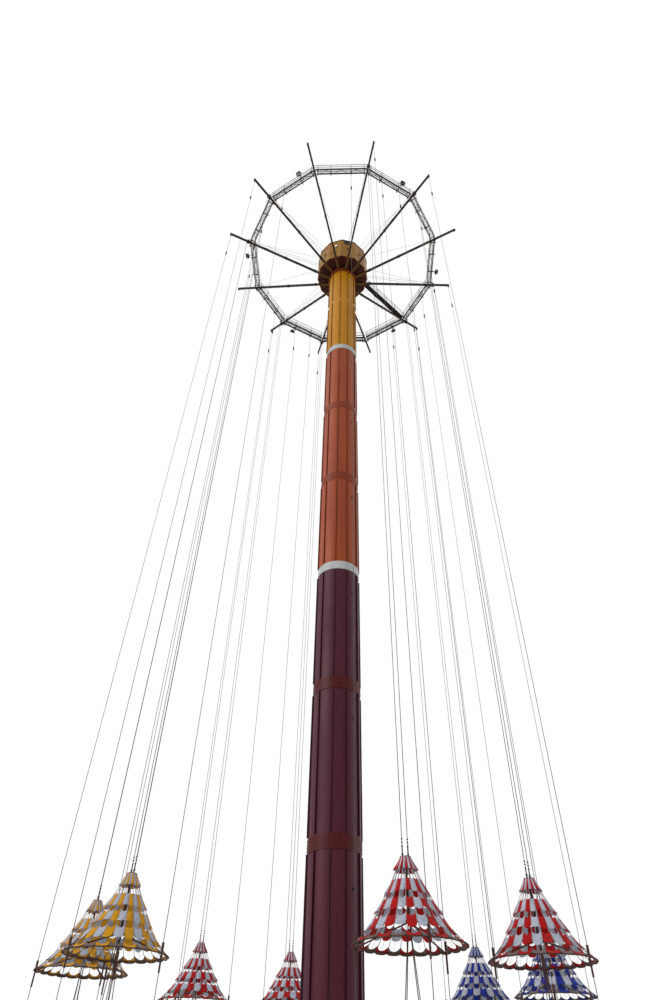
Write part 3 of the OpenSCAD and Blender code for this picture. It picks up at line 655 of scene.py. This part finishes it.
def makeBenchTrim(number):  # rubber grips on the lap bar, and bolts in the end frames
    plan, place = benchPlan, chuteTurn(number)
    grips, bolts = bmesh.new(), bmesh.new()
    lapX, lapZ = plan["depth"] / 2 - plan["lapIn"], plan["seatZ"] + plan["lapRise"]
    for seat in (-1, 1):
        for hand in (-1, 1):
            middle = seat * plan["width"] / 4 + hand * plan["handReach"]
            start, end = middle - plan["gripL"] / 2, middle + plan["gripL"] / 2
            addRod(grips, (lapX, start, lapZ), (lapX, end, lapZ), plan["gripR"], plan["gripSides"], place)
    for side in (-1, 1):
        for boltX, boltZ in plan["bolts"]:
            across = side * (plan["width"] / 2 + plan["boltOut"])
            point = place @ Vector((boltX, across, plan["seatZ"] + boltZ))
            addBolt(bolts, point, place.to_3x3() @ Vector((0, side, 0)), plan["boltR"], plan["boltH"])
    makePiece(grips, f"lapGrips{number}", f"chute_{number}", [rubberAndShade])
    makePiece(bolts, f"benchBolts{number}", f"chute_{number}", [finishes["galvanised"]])


for number in range(1, tower["chutes"] + 1):
    cloth, area = makeCanopy(number)
    makeSlats(number)
    makeBenchTrim(number)
    makeCrown(number)
    cords = makeCords(number)
print("canopies made")


def makeHoistRopes(number):
    low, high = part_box(f"hoist_ropes_{number}")
    mesh = bmesh.new()
    for foot in ropeFeet(number):
        foot.z += ropePlan["lift"]
        addRod(mesh, foot, Vector((foot.x, foot.y, high.z)), ropePlan["radius"], ropePlan["sides"])
    ropes = makePiece(mesh, f"hoistRopePair{number}", "tower", [finishes["rope_steel"]], smooth=True)
    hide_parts(f"hoist_ropes_{number}")
    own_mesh(ropes)


for number in range(1, tower["chutes"] + 1):
    makeHoistRopes(number)
print("hoist ropes made")


ringPlan = dict(
    flatR=5.211, width=0.25, lowZ=37.59, deckZ=37.69, walkZ=37.705, gap=0.072, barPitch=0.03, barWidth=0.004,
    rungPitch=0.07, rungWidth=0.005, rungDepth=0.006, toeIn=0.008, toeT=0.005, toeH=0.06, toeShort=0.02,
    braces=6, braceIn=0.025, braceShort=0.1, braceRise=0.012, braceWidth=0.02, braceT=0.006)


def bayReach(radius):  # half of a bay's length at a distance from the axis
    return radius * math.tan(halfStep) - ringPlan["gap"] / math.cos(halfStep)


def makeGrating():  # bars along each bay, and rungs across them that stop at the gap beside an arm
    plan, mesh = ringPlan, bmesh.new()
    inner = plan["flatR"] - plan["width"] / 2
    middleZ, depth = (plan["deckZ"] + plan["walkZ"]) / 2, plan["walkZ"] - plan["deckZ"]
    bars = round(plan["width"] / plan["barPitch"])
    rungs = int(bayReach(inner + plan["width"]) / plan["rungPitch"])
    for bay in range(tower["armCount"]):
        turn = towardsArm(bay + 0.5)
        for step in range(bars + 1):
            radius = inner + plan["barWidth"] + (plan["width"] - 2 * plan["barWidth"]) * step / bars
            addBox(mesh, (radius, 0, middleZ), (plan["barWidth"], 2 * bayReach(radius), depth), turn)
        for step in range(-rungs, rungs + 1):
            across = step * plan["rungPitch"]
            start = max(inner, (abs(across) + plan["gap"] / math.cos(halfStep)) / math.tan(halfStep))
            length = inner + plan["width"] - start
            addBox(mesh, (start + length / 2, across, middleZ + plan["rungDepth"] / 2),
                   (length, plan["rungWidth"], plan["rungDepth"]), turn)
    grating = fixToTower(mesh, "catwalkGrating", "grating")
    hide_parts("ring_deck")


def makeCatwalkTrim():  # toe boards, and light zigzag bracing between the stringers
    plan, mesh = ringPlan, bmesh.new()
    inner = plan["flatR"] - plan["width"] / 2 + plan["braceIn"]
    outer = plan["flatR"] + plan["width"] / 2 - plan["braceIn"]
    reach, height = bayReach(inner) - plan["braceShort"], plan["lowZ"] + plan["braceRise"]
    for bay in range(tower["armCount"]):
        turn = towardsArm(bay + 0.5)
        for side in (-1, 1):
            radius = plan["flatR"] + side * (plan["width"] / 2 - plan["toeIn"])
            addBox(mesh, (radius, 0, plan["walkZ"] + plan["toeH"] / 2),
                   (plan["toeT"], 2 * bayReach(radius) - plan["toeShort"], plan["toeH"]), turn)
        for step in range(plan["braces"]):
            start, end = (-reach + 2 * reach * count / plan["braces"] for count in (step, step + 1))
            fromR, toR = (inner, outer) if step % 2 == 0 else (outer, inner)
            addFlat(mesh, (fromR, start, height), (toR, end, height),
                    plan["braceWidth"], plan["braceT"], turn)
    fixToTower(mesh, "catwalkBracing", "catwalk_paint")


makeGrating()
makeCatwalkTrim()
print("catwalk made")


headPlan = dict(
    cornerR=1.415, lowZ=35.87, highZ=37.745, hubR=0.76, hubLowZ=35.48, batten=0.016, seamDepth=0.004,
    seamRise=0.16, seamShort=0.36, armHalf=0.06, sillHeight=0.035, sillDepth=0.02, sillOut=0.006,
    rimWidth=0.036, rimHeight=0.056, rimOut=0.004, rimRise=0.02, rimLap=0.006, rivetPitch=0.115,
    rivetR=0.006, rivetH=0.006, rivetOut=0.001, rivetEdge=0.04, rivetSeam=0.03, rivetStart=0.12,
    seamRivetStart=0.34, rivetStop=0.1)


def headFace(number):  # +X straight out of a face, with the origin in its middle
    return towardsArm(number) @ Matrix.Translation((headPlan["cornerR"] * math.cos(halfStep), 0, 0))


def makeHeadTrim():  # corner battens, the seam down each face, rivets, and the angles round sill and eaves
    plan, battens, rivets, eaves = headPlan, bmesh.new(), bmesh.new(), bmesh.new()
    half = plan["cornerR"] * math.sin(halfStep)
    height = plan["highZ"] - plan["lowZ"]
    seamZ = (plan["lowZ"] + plan["sillHeight"] + plan["highZ"]) / 2 + plan["seamRise"]
    edge, seam, span = half - plan["rivetEdge"], plan["rivetSeam"], half - plan["armHalf"]
    for number in range(tower["armCount"]):
        face = headFace(number)
        for side in (-1, 1):
            addBox(battens, (0.0, side * (half - plan["batten"] / 2), plan["lowZ"] + height / 2),
                   (2 * plan["seamDepth"], plan["batten"], height), face)
            across = side * (plan["armHalf"] + span / 2)  # the sill stops beside the arm
            addBox(battens, (plan["sillOut"], across, plan["lowZ"] + plan["sillHeight"] / 2),
                   (plan["sillDepth"], span, plan["sillHeight"]), face)
        addBox(eaves, (plan["rimOut"], 0, plan["highZ"] - plan["rimHeight"] / 2 + plan["rimRise"]),
               (plan["rimWidth"], 2 * half + plan["rimLap"], plan["rimHeight"]), face)
        addBox(battens, (0.0, 0, seamZ),
               (2 * plan["seamDepth"], plan["batten"], height - plan["seamShort"]), face)
        for across, low in ((-edge, plan["rivetStart"]), (-seam, plan["seamRivetStart"]),
                            (seam, plan["seamRivetStart"]), (edge, plan["rivetStart"])):
            for step in range(int((height - low - plan["rivetStop"]) / plan["rivetPitch"])):
                rise = plan["lowZ"] + low + step * plan["rivetPitch"]
                addBolt(rivets, face @ Vector((plan["rivetOut"], across, rise)),
                        face.to_3x3() @ Vector((1, 0, 0)), plan["rivetR"], plan["rivetH"])
    fixToTower(battens, "headBattens", "head_yellow")
    fixToTower(rivets, "headRivets", "black_steel")
    fixToTower(eaves, "headEaves", "lamp_black")


# A hatch or patch has its face's number, its distance across the face, the height of its middle, its width
# and how tall it is
hatchPlan = dict(
    hatches=((0, -0.1, 37.5, 0.27, 0.32), (9, 0.1, 37.4, 0.12, 0.1)),
    patches=((10, 0.2, 37.3, 0.16, 0.3), (11, -0.16, 36.5, 0.22, 0.26), (1, 0.12, 36.9, 0.2, 0.24)),
    frame=0.018, hatchShadeT=0.006, blades=5,
    bladeT=0.003, bladeOut=0.012, bladeShare=0.45, patchT=0.005, patchEdge=0.001)


def addPlate(mesh, face, across, height, wide, high, proud):  # a plate lying on the cladding
    return addBox(mesh, (proud / 2, across, height), (proud, wide, high), face)


def makeHatches():  # hatches, each a dark sheet of painted shade behind louvre blades, and patched panels
    plan, frames, hatchShade, patched = hatchPlan, bmesh.new(), bmesh.new(), bmesh.new()
    bar = plan["frame"]
    for number, across, height, wide, high in plan["hatches"]:
        face = headFace(number)
        for side in (-1, 1):
            addPlate(frames, face, across + side * wide / 2, height, bar, high, bar)
            addPlate(frames, face, across, height + side * high / 2, wide + bar, bar, bar)
        addPlate(hatchShade, face, across, height, wide, high, plan["hatchShadeT"])
        pitch = high / plan["blades"]
        for step in range(1, plan["blades"]):
            middle = (plan["bladeOut"], across, height - high / 2 + pitch * step)
            addBox(frames, middle, (plan["bladeT"], wide, pitch * plan["bladeShare"]), face)
    for number, across, height, wide, high in plan["patches"]:
        verts = addPlate(patched, headFace(number), across, height, wide, high, plan["patchT"])
        soften(patched, verts, plan["patchEdge"], segments=1)
    fixToTower(frames, "headHatchFrames", "black_steel")
    makePiece(hatchShade, "headHatchShade", "tower", [rubberAndShade])
    makePiece(patched, "headPatches", "tower", [patchPaint])


headLamp = dict(
    face=11, across=0.03, height=37.09, radius=0.04, depth=0.09, droop=0.35, sides=20, rimWide=1.3,
    rimDepth=0.012, bulbWide=1.05)


def makeHeadLamp():
    plan, housing, glass = headLamp, bmesh.new(), bmesh.new()
    face = headFace(plan["face"])
    wall = face @ Vector((0, plan["across"], plan["height"]))
    out = (face.to_3x3() @ Vector((1, 0, -plan["droop"]))).normalized()
    front, behind = wall + out * plan["depth"], wall + out * (plan["depth"] - plan["rimDepth"])
    addRod(housing, wall, front, plan["radius"], plan["sides"])
    addRod(housing, behind, front, plan["radius"] * plan["rimWide"], plan["sides"])
    bmesh.ops.create_uvsphere(glass, u_segments=plan["sides"], v_segments=plan["sides"] // 2,
                              radius=plan["radius"] * plan["bulbWide"], matrix=Matrix.Translation(front))
    fixToTower(housing, "headLampHousing", "lamp_black")
    makePiece(glass, "headLampGlass", "tower", [litGlass], smooth=True)


armPlan = dict(
    rootZ=35.649, rootR=0.7603, rise=21.8, width=0.084, height=0.134, splices=(1.62, 3.35), cheekHalf=0.05,
    cheekLength=0.075, cheekT=0.008, cheekLap=0.03, clampHalf=0.06, clampWidth=0.1, clampT=0.012,
    boltAlong=0.035, boltAcross=0.03, boltR=0.008, boltH=0.012)


def armPoint(radius, across, lift):  # on an arm's lower flange, with lift upward from it
    plan = armPlan
    height = plan["rootZ"] + (radius - plan["rootR"]) * math.tan(math.radians(plan["rise"])) + lift
    return Vector((radius, across, height))


def makeArmFittings():  # clamped splices: cheeks, clamping plates and their bolts
    plan, clamps, bolts = armPlan, bmesh.new(), bmesh.new()
    upright = plan["height"] / math.cos(math.radians(plan["rise"]))
    for number in range(tower["armCount"]):
        turn = towardsArm(number)
        for radius in plan["splices"]:
            for side in (-1, 1):
                across = side * (plan["width"] / 2 + plan["cheekT"] / 2)
                start = armPoint(radius - plan["cheekHalf"], across, upright / 2)
                end = armPoint(radius + plan["cheekHalf"], across, upright / 2)
                addBox(clamps, (radius, across, (start.z + end.z) / 2),
                       (plan["cheekLength"], plan["cheekT"], upright + plan["cheekLap"]), turn)
            for lift in (-plan["cheekT"], upright + plan["cheekT"]):
                start = armPoint(radius - plan["clampHalf"], 0, lift)
                end = armPoint(radius + plan["clampHalf"], 0, lift)
                addFlat(clamps, start, end, plan["clampWidth"], plan["clampT"], turn)
            for shift in (-plan["boltAlong"], plan["boltAlong"]):
                for across in (-plan["boltAcross"], plan["boltAcross"]):
                    point = turn @ armPoint(radius + shift, across, -plan["clampT"])
                    addBolt(bolts, point, (0, 0, -1), plan["boltR"], plan["boltH"])
    fixToTower(clamps, "armSplices", "black_steel")
    fixToTower(bolts, "armSpliceBolts", "galvanised")


floorPlan = dict(
    strapSide=0.046, strapLift=-0.004, strapIn=0.03, strapOut=0.02, strapWidth=0.016, strapT=0.006,
    ribT=0.012, ribH=0.04, ribIn=0.01, ribShort=0.05)


def makeFloorRibs():  # under the head: yellow straps along the arms, and ribs between them
    head, plan, straps, ribs = headPlan, floorPlan, bmesh.new(), bmesh.new()
    flat = head["cornerR"] * math.cos(halfStep)
    for number in range(tower["armCount"]):
        for side in (-1, 1):
            across = side * plan["strapSide"]
            start = armPoint(head["hubR"] + plan["strapIn"], across, plan["strapLift"])
            end = armPoint(flat - plan["strapOut"], across, plan["strapLift"])
            addFlat(straps, start, end, plan["strapWidth"], plan["strapT"], towardsArm(number))
        middle = ((head["hubR"] + head["cornerR"]) / 2 - plan["ribIn"], 0, head["lowZ"] - plan["ribH"] / 2)
        size = (head["cornerR"] - head["hubR"] - plan["ribShort"], plan["ribT"], plan["ribH"])
        addBox(ribs, middle, size, towardsArm(number + 0.5))
    fixToTower(straps, "armRootStraps", "head_yellow")
    fixToTower(ribs, "headFloorRibs", "head_dark")


# Each ring has its height over the hub's lower edge, how far it stands out, and its own height
hubPlan = dict(
    rings=((0.02, 0.022, 0.04), (0.2, 0.01, 0.02)), sides=72, lipIn=0.004, bolts=36, firstBolt=5,
    boltRise=0.02, boltOut=0.02, boltR=0.012, boltH=0.012)


def makeHubFlange():  # two rings round the hub, and bolts round the lower one
    head, plan, hub = headPlan, hubPlan, bmesh.new()
    for rise, proud, tall in plan["rings"]:
        radius = head["hubR"] + proud
        ring = Matrix.Translation((0, 0, head["hubLowZ"] + rise))
        made = bmesh.ops.create_cone(hub, cap_ends=False, segments=plan["sides"], radius1=radius,
                                     radius2=radius, depth=tall, matrix=ring)
        rims = [edge for edge in edgesOf(made["verts"]) if edge.is_boundary]
        lips = bmesh.ops.extrude_edge_only(hub, edges=rims)["geom"]
        for vert in (item for item in lips if isinstance(item, bmesh.types.BMVert)):
            vert.co.xy = vert.co.xy.normalized() * (head["hubR"] - plan["lipIn"])
    for step in range(plan["bolts"]):
        azimuth = 360 / plan["bolts"] * step + plan["firstBolt"]
        point = spot(azimuth, head["hubR"] + plan["boltOut"], head["hubLowZ"] + plan["boltRise"])
        addBolt(hub, point, spot(azimuth, 1), plan["boltR"], plan["boltH"])
    fixToTower(hub, "hubFlange", "column_orange")


makeHeadTrim()
makeHatches()
makeHeadLamp()
makeFloorRibs()
makeHubFlange()
makeArmFittings()
print("head and arms dressed")


columnPlan = dict(
    radius=0.71, collar=0.016, collarH=0.39, joints=(6.0, 10.425, 14.85, 19.275, 23.7, 28.125),
    bands=(14.85, 28.125), boltRows=(0.12, 0.04, -0.04, -0.12), bolts=40, boltR=0.018, boltH=0.014,
    boltSunk=0.001, ribs=10, firstRib=25, ribWidth=0.03, ribDepth=0.048, ribFoot=0.43, topRibFoot=0.06,
    paintedShade=0.014, paintedShadeT=0.004, paintedShadeShort=0.02, sideShadeT=0.002)


def makeColumnBolts():  # rows of bolts on the collars, each row half a pitch on from the last
    plan = columnPlan
    out = plan["radius"] + plan["collar"] - plan["boltSunk"]
    for joint in (joint for joint in plan["joints"] if joint not in plan["bands"]):
        mesh = bmesh.new()
        for number, row in enumerate(plan["boltRows"]):
            for step in range(plan["bolts"]):
                azimuth = 360 * (step + 0.5 * (number % 2)) / plan["bolts"]
                addBolt(mesh, spot(azimuth, out, joint + row), spot(azimuth, 1), plan["boltR"], plan["boltH"])
        lower = joint < plan["bands"][0]
        # the upper collars' bolts take the orange painted-shade colour as their paint
        makePiece(mesh, f"collarBolts{round(joint)}", "tower", [collarBolt if lower else paintedShade["Orange"]])


def ribStretches():  # the lower and upper ends of the ribs on each column section
    plan, collar = columnPlan, columnPlan["collarH"] / 2
    topZ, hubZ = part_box("column_top_section")[0].z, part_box("hub_ring")[0].z
    joints = [*plan["joints"], topZ]
    stretches = [(plan["ribFoot"], joints[0] - collar)]
    stretches += [(low + collar, high - collar) for low, high in zip(joints, joints[1:])]
    return stretches + [(topZ + plan["topRibFoot"], hubZ)]


def makeRibShade():  # painted shade along both sides of each rib: its cast shadow on the panel, and its shaded side faces
    plan, stretches = columnPlan, ribStretches()
    for colour, span in (("Maroon", stretches[:3]), ("Orange", stretches[3:6]), ("Yellow", stretches[6:])):
        mesh = bmesh.new()
        for bottom, top in span:
            middle, length = (bottom + top) / 2, top - bottom - plan["paintedShadeShort"]
            for step in range(plan["ribs"]):
                turn = turnedTo(plan["firstRib"] + 360 * step / plan["ribs"])
                for side in (-1, 1):
                    across = side * (plan["ribWidth"] + plan["paintedShade"]) / 2
                    addBox(mesh, (plan["radius"] + plan["paintedShadeT"] / 4, across, middle),
                           (plan["paintedShadeT"], plan["paintedShade"], length), turn)
                    across = side * (plan["ribWidth"] / 2 + plan["sideShadeT"] / 4)
                    addBox(mesh, (plan["radius"] + plan["ribDepth"] / 2, across, middle),
                           (plan["ribDepth"] - plan["paintedShadeT"], plan["sideShadeT"], length), turn)
        makePiece(mesh, f"ribPaintedShade{colour}", "tower", [paintedShade[colour]])


portPlan = dict(
    azimuth=42, drop=1.05, radius=0.032, sunk=0.004, rimReach=0.014, boreShadeReach=0.0155, rim=0.008, sides=24)


def makePorts():  # small round ports, one below every joint, each bore filled by a dark disc of painted shade
    plan, rims, boreShade = portPlan, bmesh.new(), bmesh.new()
    out = spot(plan["azimuth"], 1)
    for joint in columnPlan["joints"]:
        middle = spot(plan["azimuth"], columnPlan["radius"] - plan["sunk"], joint - plan["drop"])
        addRod(rims, middle, middle + out * plan["rimReach"], plan["radius"] + plan["rim"], plan["sides"])
        addRod(boreShade, middle, middle + out * plan["boreShadeReach"], plan["radius"], plan["sides"])
    fixToTower(rims, "portRims", "black_steel")
    makePiece(boreShade, "portBoreShade", "tower", [rubberAndShade])


makeColumnBolts()
makeRibShade()
makePorts()
print("column dressed")


floodPlan = dict(
    width=0.26, height=0.2, depth=0.11, tilt=28, reach=0.14, hangDrop=0.01, innerR=5.3, halfBay=1.3,
    backWidth=0.62, backHeight=0.6, softEdge=0.008, fins=3, finPitch=0.02, finT=0.004, finDepth=0.03,
    finOut=0.01, finShare=0.5, bezel=0.018, bezelDepth=0.014, bezelOut=0.006, bezelIn=0.008, glassTrim=0.03,
    glassT=0.006, hood=0.05, hoodT=0.004)
yokePlan = dict(
    gap=0.012, rise=0.055, width=0.03, thick=0.006, share=0.85, pivotOut=0.02, pivotIn=0.03, pivotR=0.014,
    pivotSides=12, armReach=0.12, armSides=10, footIn=0.1, footDrop=0.02, footSize=(0.05, 0.05, 0.06))


def lampPlace(number):  # under the catwalk's edge, where the plain lamp of this bay stands
    turn = towardsArm(number + 0.5)
    corners = [turn.inverted() @ vert.co for vert in frame["nodes"]["floodlights"].data.vertices]
    corners = [co for co in corners if co.x > floodPlan["innerR"] and abs(co.y) < floodPlan["halfBay"]]
    middle = sum(corners, Vector()) / len(corners)
    height = max(co.z for co in corners) - floodPlan["height"] / 2 - floodPlan["hangDrop"]
    return turn @ Matrix.Translation((middle.x + floodPlan["reach"], middle.y, height))


def addHousing(mesh, glass, aim):  # a tapered housing with fins, a framed glass and a hood
    plan = floodPlan
    front, size = plan["depth"] / 2, (plan["depth"], plan["width"], plan["height"])
    verts = addBox(mesh, (0, 0, 0), size, aim)
    for vert in verts:  # the back is smaller than the front
        local = aim.inverted() @ vert.co
        if local.x < 0:
            vert.co = aim @ Vector((local.x, local.y * plan["backWidth"], local.z * plan["backHeight"]))
    soften(mesh, verts, plan["softEdge"])
    for fin in range(-plan["fins"], plan["fins"] + 1):
        addBox(mesh, (-front - plan["finOut"], fin * plan["finPitch"], 0),
               (plan["finDepth"], plan["finT"], plan["height"] * plan["finShare"]), aim)
    for side in (-1, 1):
        across = side * (plan["width"] / 2 - plan["bezelIn"])
        up = side * (plan["height"] / 2 - plan["bezelIn"])
        out, deep, bar = front + plan["bezelOut"], plan["bezelDepth"], plan["bezel"]
        addBox(mesh, (out, across, 0), (deep, bar, plan["height"]), aim)
        addBox(mesh, (out, 0, up), (deep, plan["width"], bar), aim)
    addBox(mesh, (front + plan["hood"] / 2, 0, plan["height"] / 2),
           (plan["hood"], plan["width"], plan["hoodT"]), aim)
    addBox(glass, (front + plan["glassT"] / 2, 0, 0),
           (plan["glassT"], plan["width"] - plan["glassTrim"], plan["height"] - plan["glassTrim"]), aim)


def addYoke(mesh, hang):  # a bent strap between the pivots, hung from an arm that reaches to the catwalk
    plan, half, reach = yokePlan, floodPlan["width"] / 2, floodPlan["reach"]
    tall = floodPlan["height"] * plan["share"]
    top = tall / 2 + plan["rise"]
    for side in (-1, 1):
        addBox(mesh, (0, side * (half + plan["gap"]), plan["rise"]),
               (plan["width"], plan["thick"], tall), hang)
        addRod(mesh, (0, side * (half + plan["pivotOut"]), 0), (0, side * (half - plan["pivotIn"]), 0),
               plan["pivotR"], plan["pivotSides"], hang)
    addBox(mesh, (0, 0, top), (plan["width"], 2 * half + plan["width"], plan["thick"]), hang)
    addRod(mesh, (0, 0, top), (-reach - plan["armReach"], 0, top), plan["pivotR"], plan["armSides"], hang)
    addBox(mesh, (-reach - plan["footIn"], 0, top - plan["footDrop"]), plan["footSize"], hang)


def makeFloodlights():  # six, in every second bay
    housings, glass, yokes = bmesh.new(), bmesh.new(), bmesh.new()
    for number in range(0, tower["armCount"], 2):
        hang = lampPlace(number)
        addHousing(housings, glass, hang @ Matrix.Rotation(math.radians(floodPlan["tilt"]), 4, "Y"))
        addYoke(yokes, hang)
    housing = fixToTower(housings, "floodHousings", "lamp_black")
    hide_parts("floodlights")
    makePiece(glass, "floodGlass", "tower", [lensGlass])
    fixToTower(yokes, "floodYokes", "black_steel")


anchorPlan = dict(
    screwLow=0.34, screwHigh=0.62, screwR=0.02, barOut=0.003, barT=0.007, barWidth=0.018, nutHalf=0.02,
    nutOut=0.007, nutSides=6, eyeR=0.012, eyeHalf=0.05, eyeSides=12, clips=3, clipRise=0.16, clipPitch=0.07,
    clipOut=0.006, clipSize=(0.04, 0.03, 0.022), legBack=-0.004, legFront=0.038, legSide=0.011, legR=0.005,
    legSides=6)


def addTurnbuckle(mesh, place):
    plan = anchorPlan
    low, high = plan["screwLow"], plan["screwHigh"]
    for side in (-1, 1):
        addBox(mesh, (side * (plan["screwR"] + plan["barOut"]), 0, (low + high) / 2),
               (plan["barT"], plan["barWidth"], high - low), place)
    eyes = (low - plan["eyeHalf"], high + plan["eyeHalf"])
    for heights, half, radius, sides in (
            ((low, high), plan["nutHalf"], plan["screwR"] + plan["nutOut"], plan["nutSides"]),
            (eyes, plan["eyeHalf"], plan["eyeR"], plan["eyeSides"])):
        for height in heights:
            addRod(mesh, (0, 0, height - half), (0, 0, height + half), radius, sides, place)


def addRopeClips(mesh, place):  # over the turnbuckle, each with the two legs of its bolt
    plan = anchorPlan
    for clip in range(plan["clips"]):
        height = plan["screwHigh"] + plan["clipRise"] + clip * plan["clipPitch"]
        addBox(mesh, (plan["clipOut"], 0, height), plan["clipSize"], place)
        for side in (-1, 1):
            leg = side * plan["legSide"]
            addRod(mesh, (plan["legBack"], leg, height), (plan["legFront"], leg, height),
                   plan["legR"], plan["legSides"], place)


def makeAnchorFittings():  # on the foot of each guide rope
    clips, screws = bmesh.new(), bmesh.new()
    out, guides = canopyPlan["guideR"], canopyPlan["guides"]
    for number in range(1, tower["chutes"] + 1):
        for guide in range(guides):
            angle = 2 * math.pi * guide / guides
            place = chuteTurn(number) @ Matrix.Translation((out * math.cos(angle), out * math.sin(angle), 0))
            addTurnbuckle(screws, place)
            addRopeClips(clips, place)
    fixToTower(clips, "ropeClips", "galvanised")
    fixToTower(screws, "turnbuckles", "galvanised")


makeFloodlights()
makeAnchorFittings()
print("lamps and anchors dressed")


# A lamp comes from an azimuth and a height above the horizon, both in degrees
studio = dict(
    floor=(238, 238, 236), floorR=260, floorRough=0.9, floorShade=0.97, worldLight=0.42, sunAngle=35,
    sunPower=1.5, sunFrom=(-62, 30), fillPower=0.45, fillFrom=(100, 24),
    cloud=dict(scale=0.3, low=0.3, high=0.7))


def addFloor():
    mesh = bmesh.new()
    bmesh.ops.create_circle(mesh, cap_ends=True, segments=96, radius=studio["floorR"])
    data = bpy.data.meshes.new("studioFloor")
    mesh.to_mesh(data)
    mesh.free()
    floor = bpy.data.objects.new("studioFloor", data)
    scene.collection.objects.link(floor)
    made, tree, surface = newMaterial("studioFloor", Roughness=studio["floorRough"])
    pale = linear(studio["floor"])
    colour = blendColours(tree, mottle(tree, **studio["cloud"]), pale, darker(pale, studio["floorShade"]))
    tree.links.new(colour, surface.inputs["Base Color"])
    data.materials.append(made)


def addWorld():  # a soft light on the object, and plain white where the camera, metal or glass sees the sky
    world = bpy.data.worlds.new("studio")
    world.use_nodes = True
    scene.world = world
    tree = world.node_tree
    glow = tree.nodes["Background"]
    glow.inputs["Color"].default_value = (1, 1, 1, 1)
    glow.inputs["Strength"].default_value = studio["worldLight"]
    seen = addNode(tree, "ShaderNodeBackground", {"Color": (1, 1, 1, 1), "Strength": 1.0})
    path = addNode(tree, "ShaderNodeLightPath").outputs
    direct = addMath(tree, "MAXIMUM", path["Is Camera Ray"], path["Is Glossy Ray"])
    mix = addNode(tree, "ShaderNodeMixShader")
    tree.links.new(addMath(tree, "MAXIMUM", direct, path["Is Transmission Ray"]), mix.inputs[0])
    tree.links.new(glow.outputs[0], mix.inputs[1])
    tree.links.new(seen.outputs[0], mix.inputs[2])
    tree.links.new(mix.outputs[0], tree.nodes["World Output"].inputs["Surface"])


def addSun(name, power, fromSide):
    lamp = bpy.data.lights.new(name, "SUN")
    lamp.energy = power
    lamp.angle = math.radians(studio["sunAngle"])
    sun = bpy.data.objects.new(name, lamp)
    azimuth, height = fromSide
    towards = spot(azimuth, math.cos(math.radians(height)), math.sin(math.radians(height)))
    sun.rotation_euler = towards.to_track_quat("Z", "Y").to_euler()
    scene.collection.objects.link(sun)


addFloor()
addWorld()
addSun("keyLight", studio["sunPower"], studio["sunFrom"])
addSun("fillLight", studio["fillPower"], studio["fillFrom"])
print("studio set")
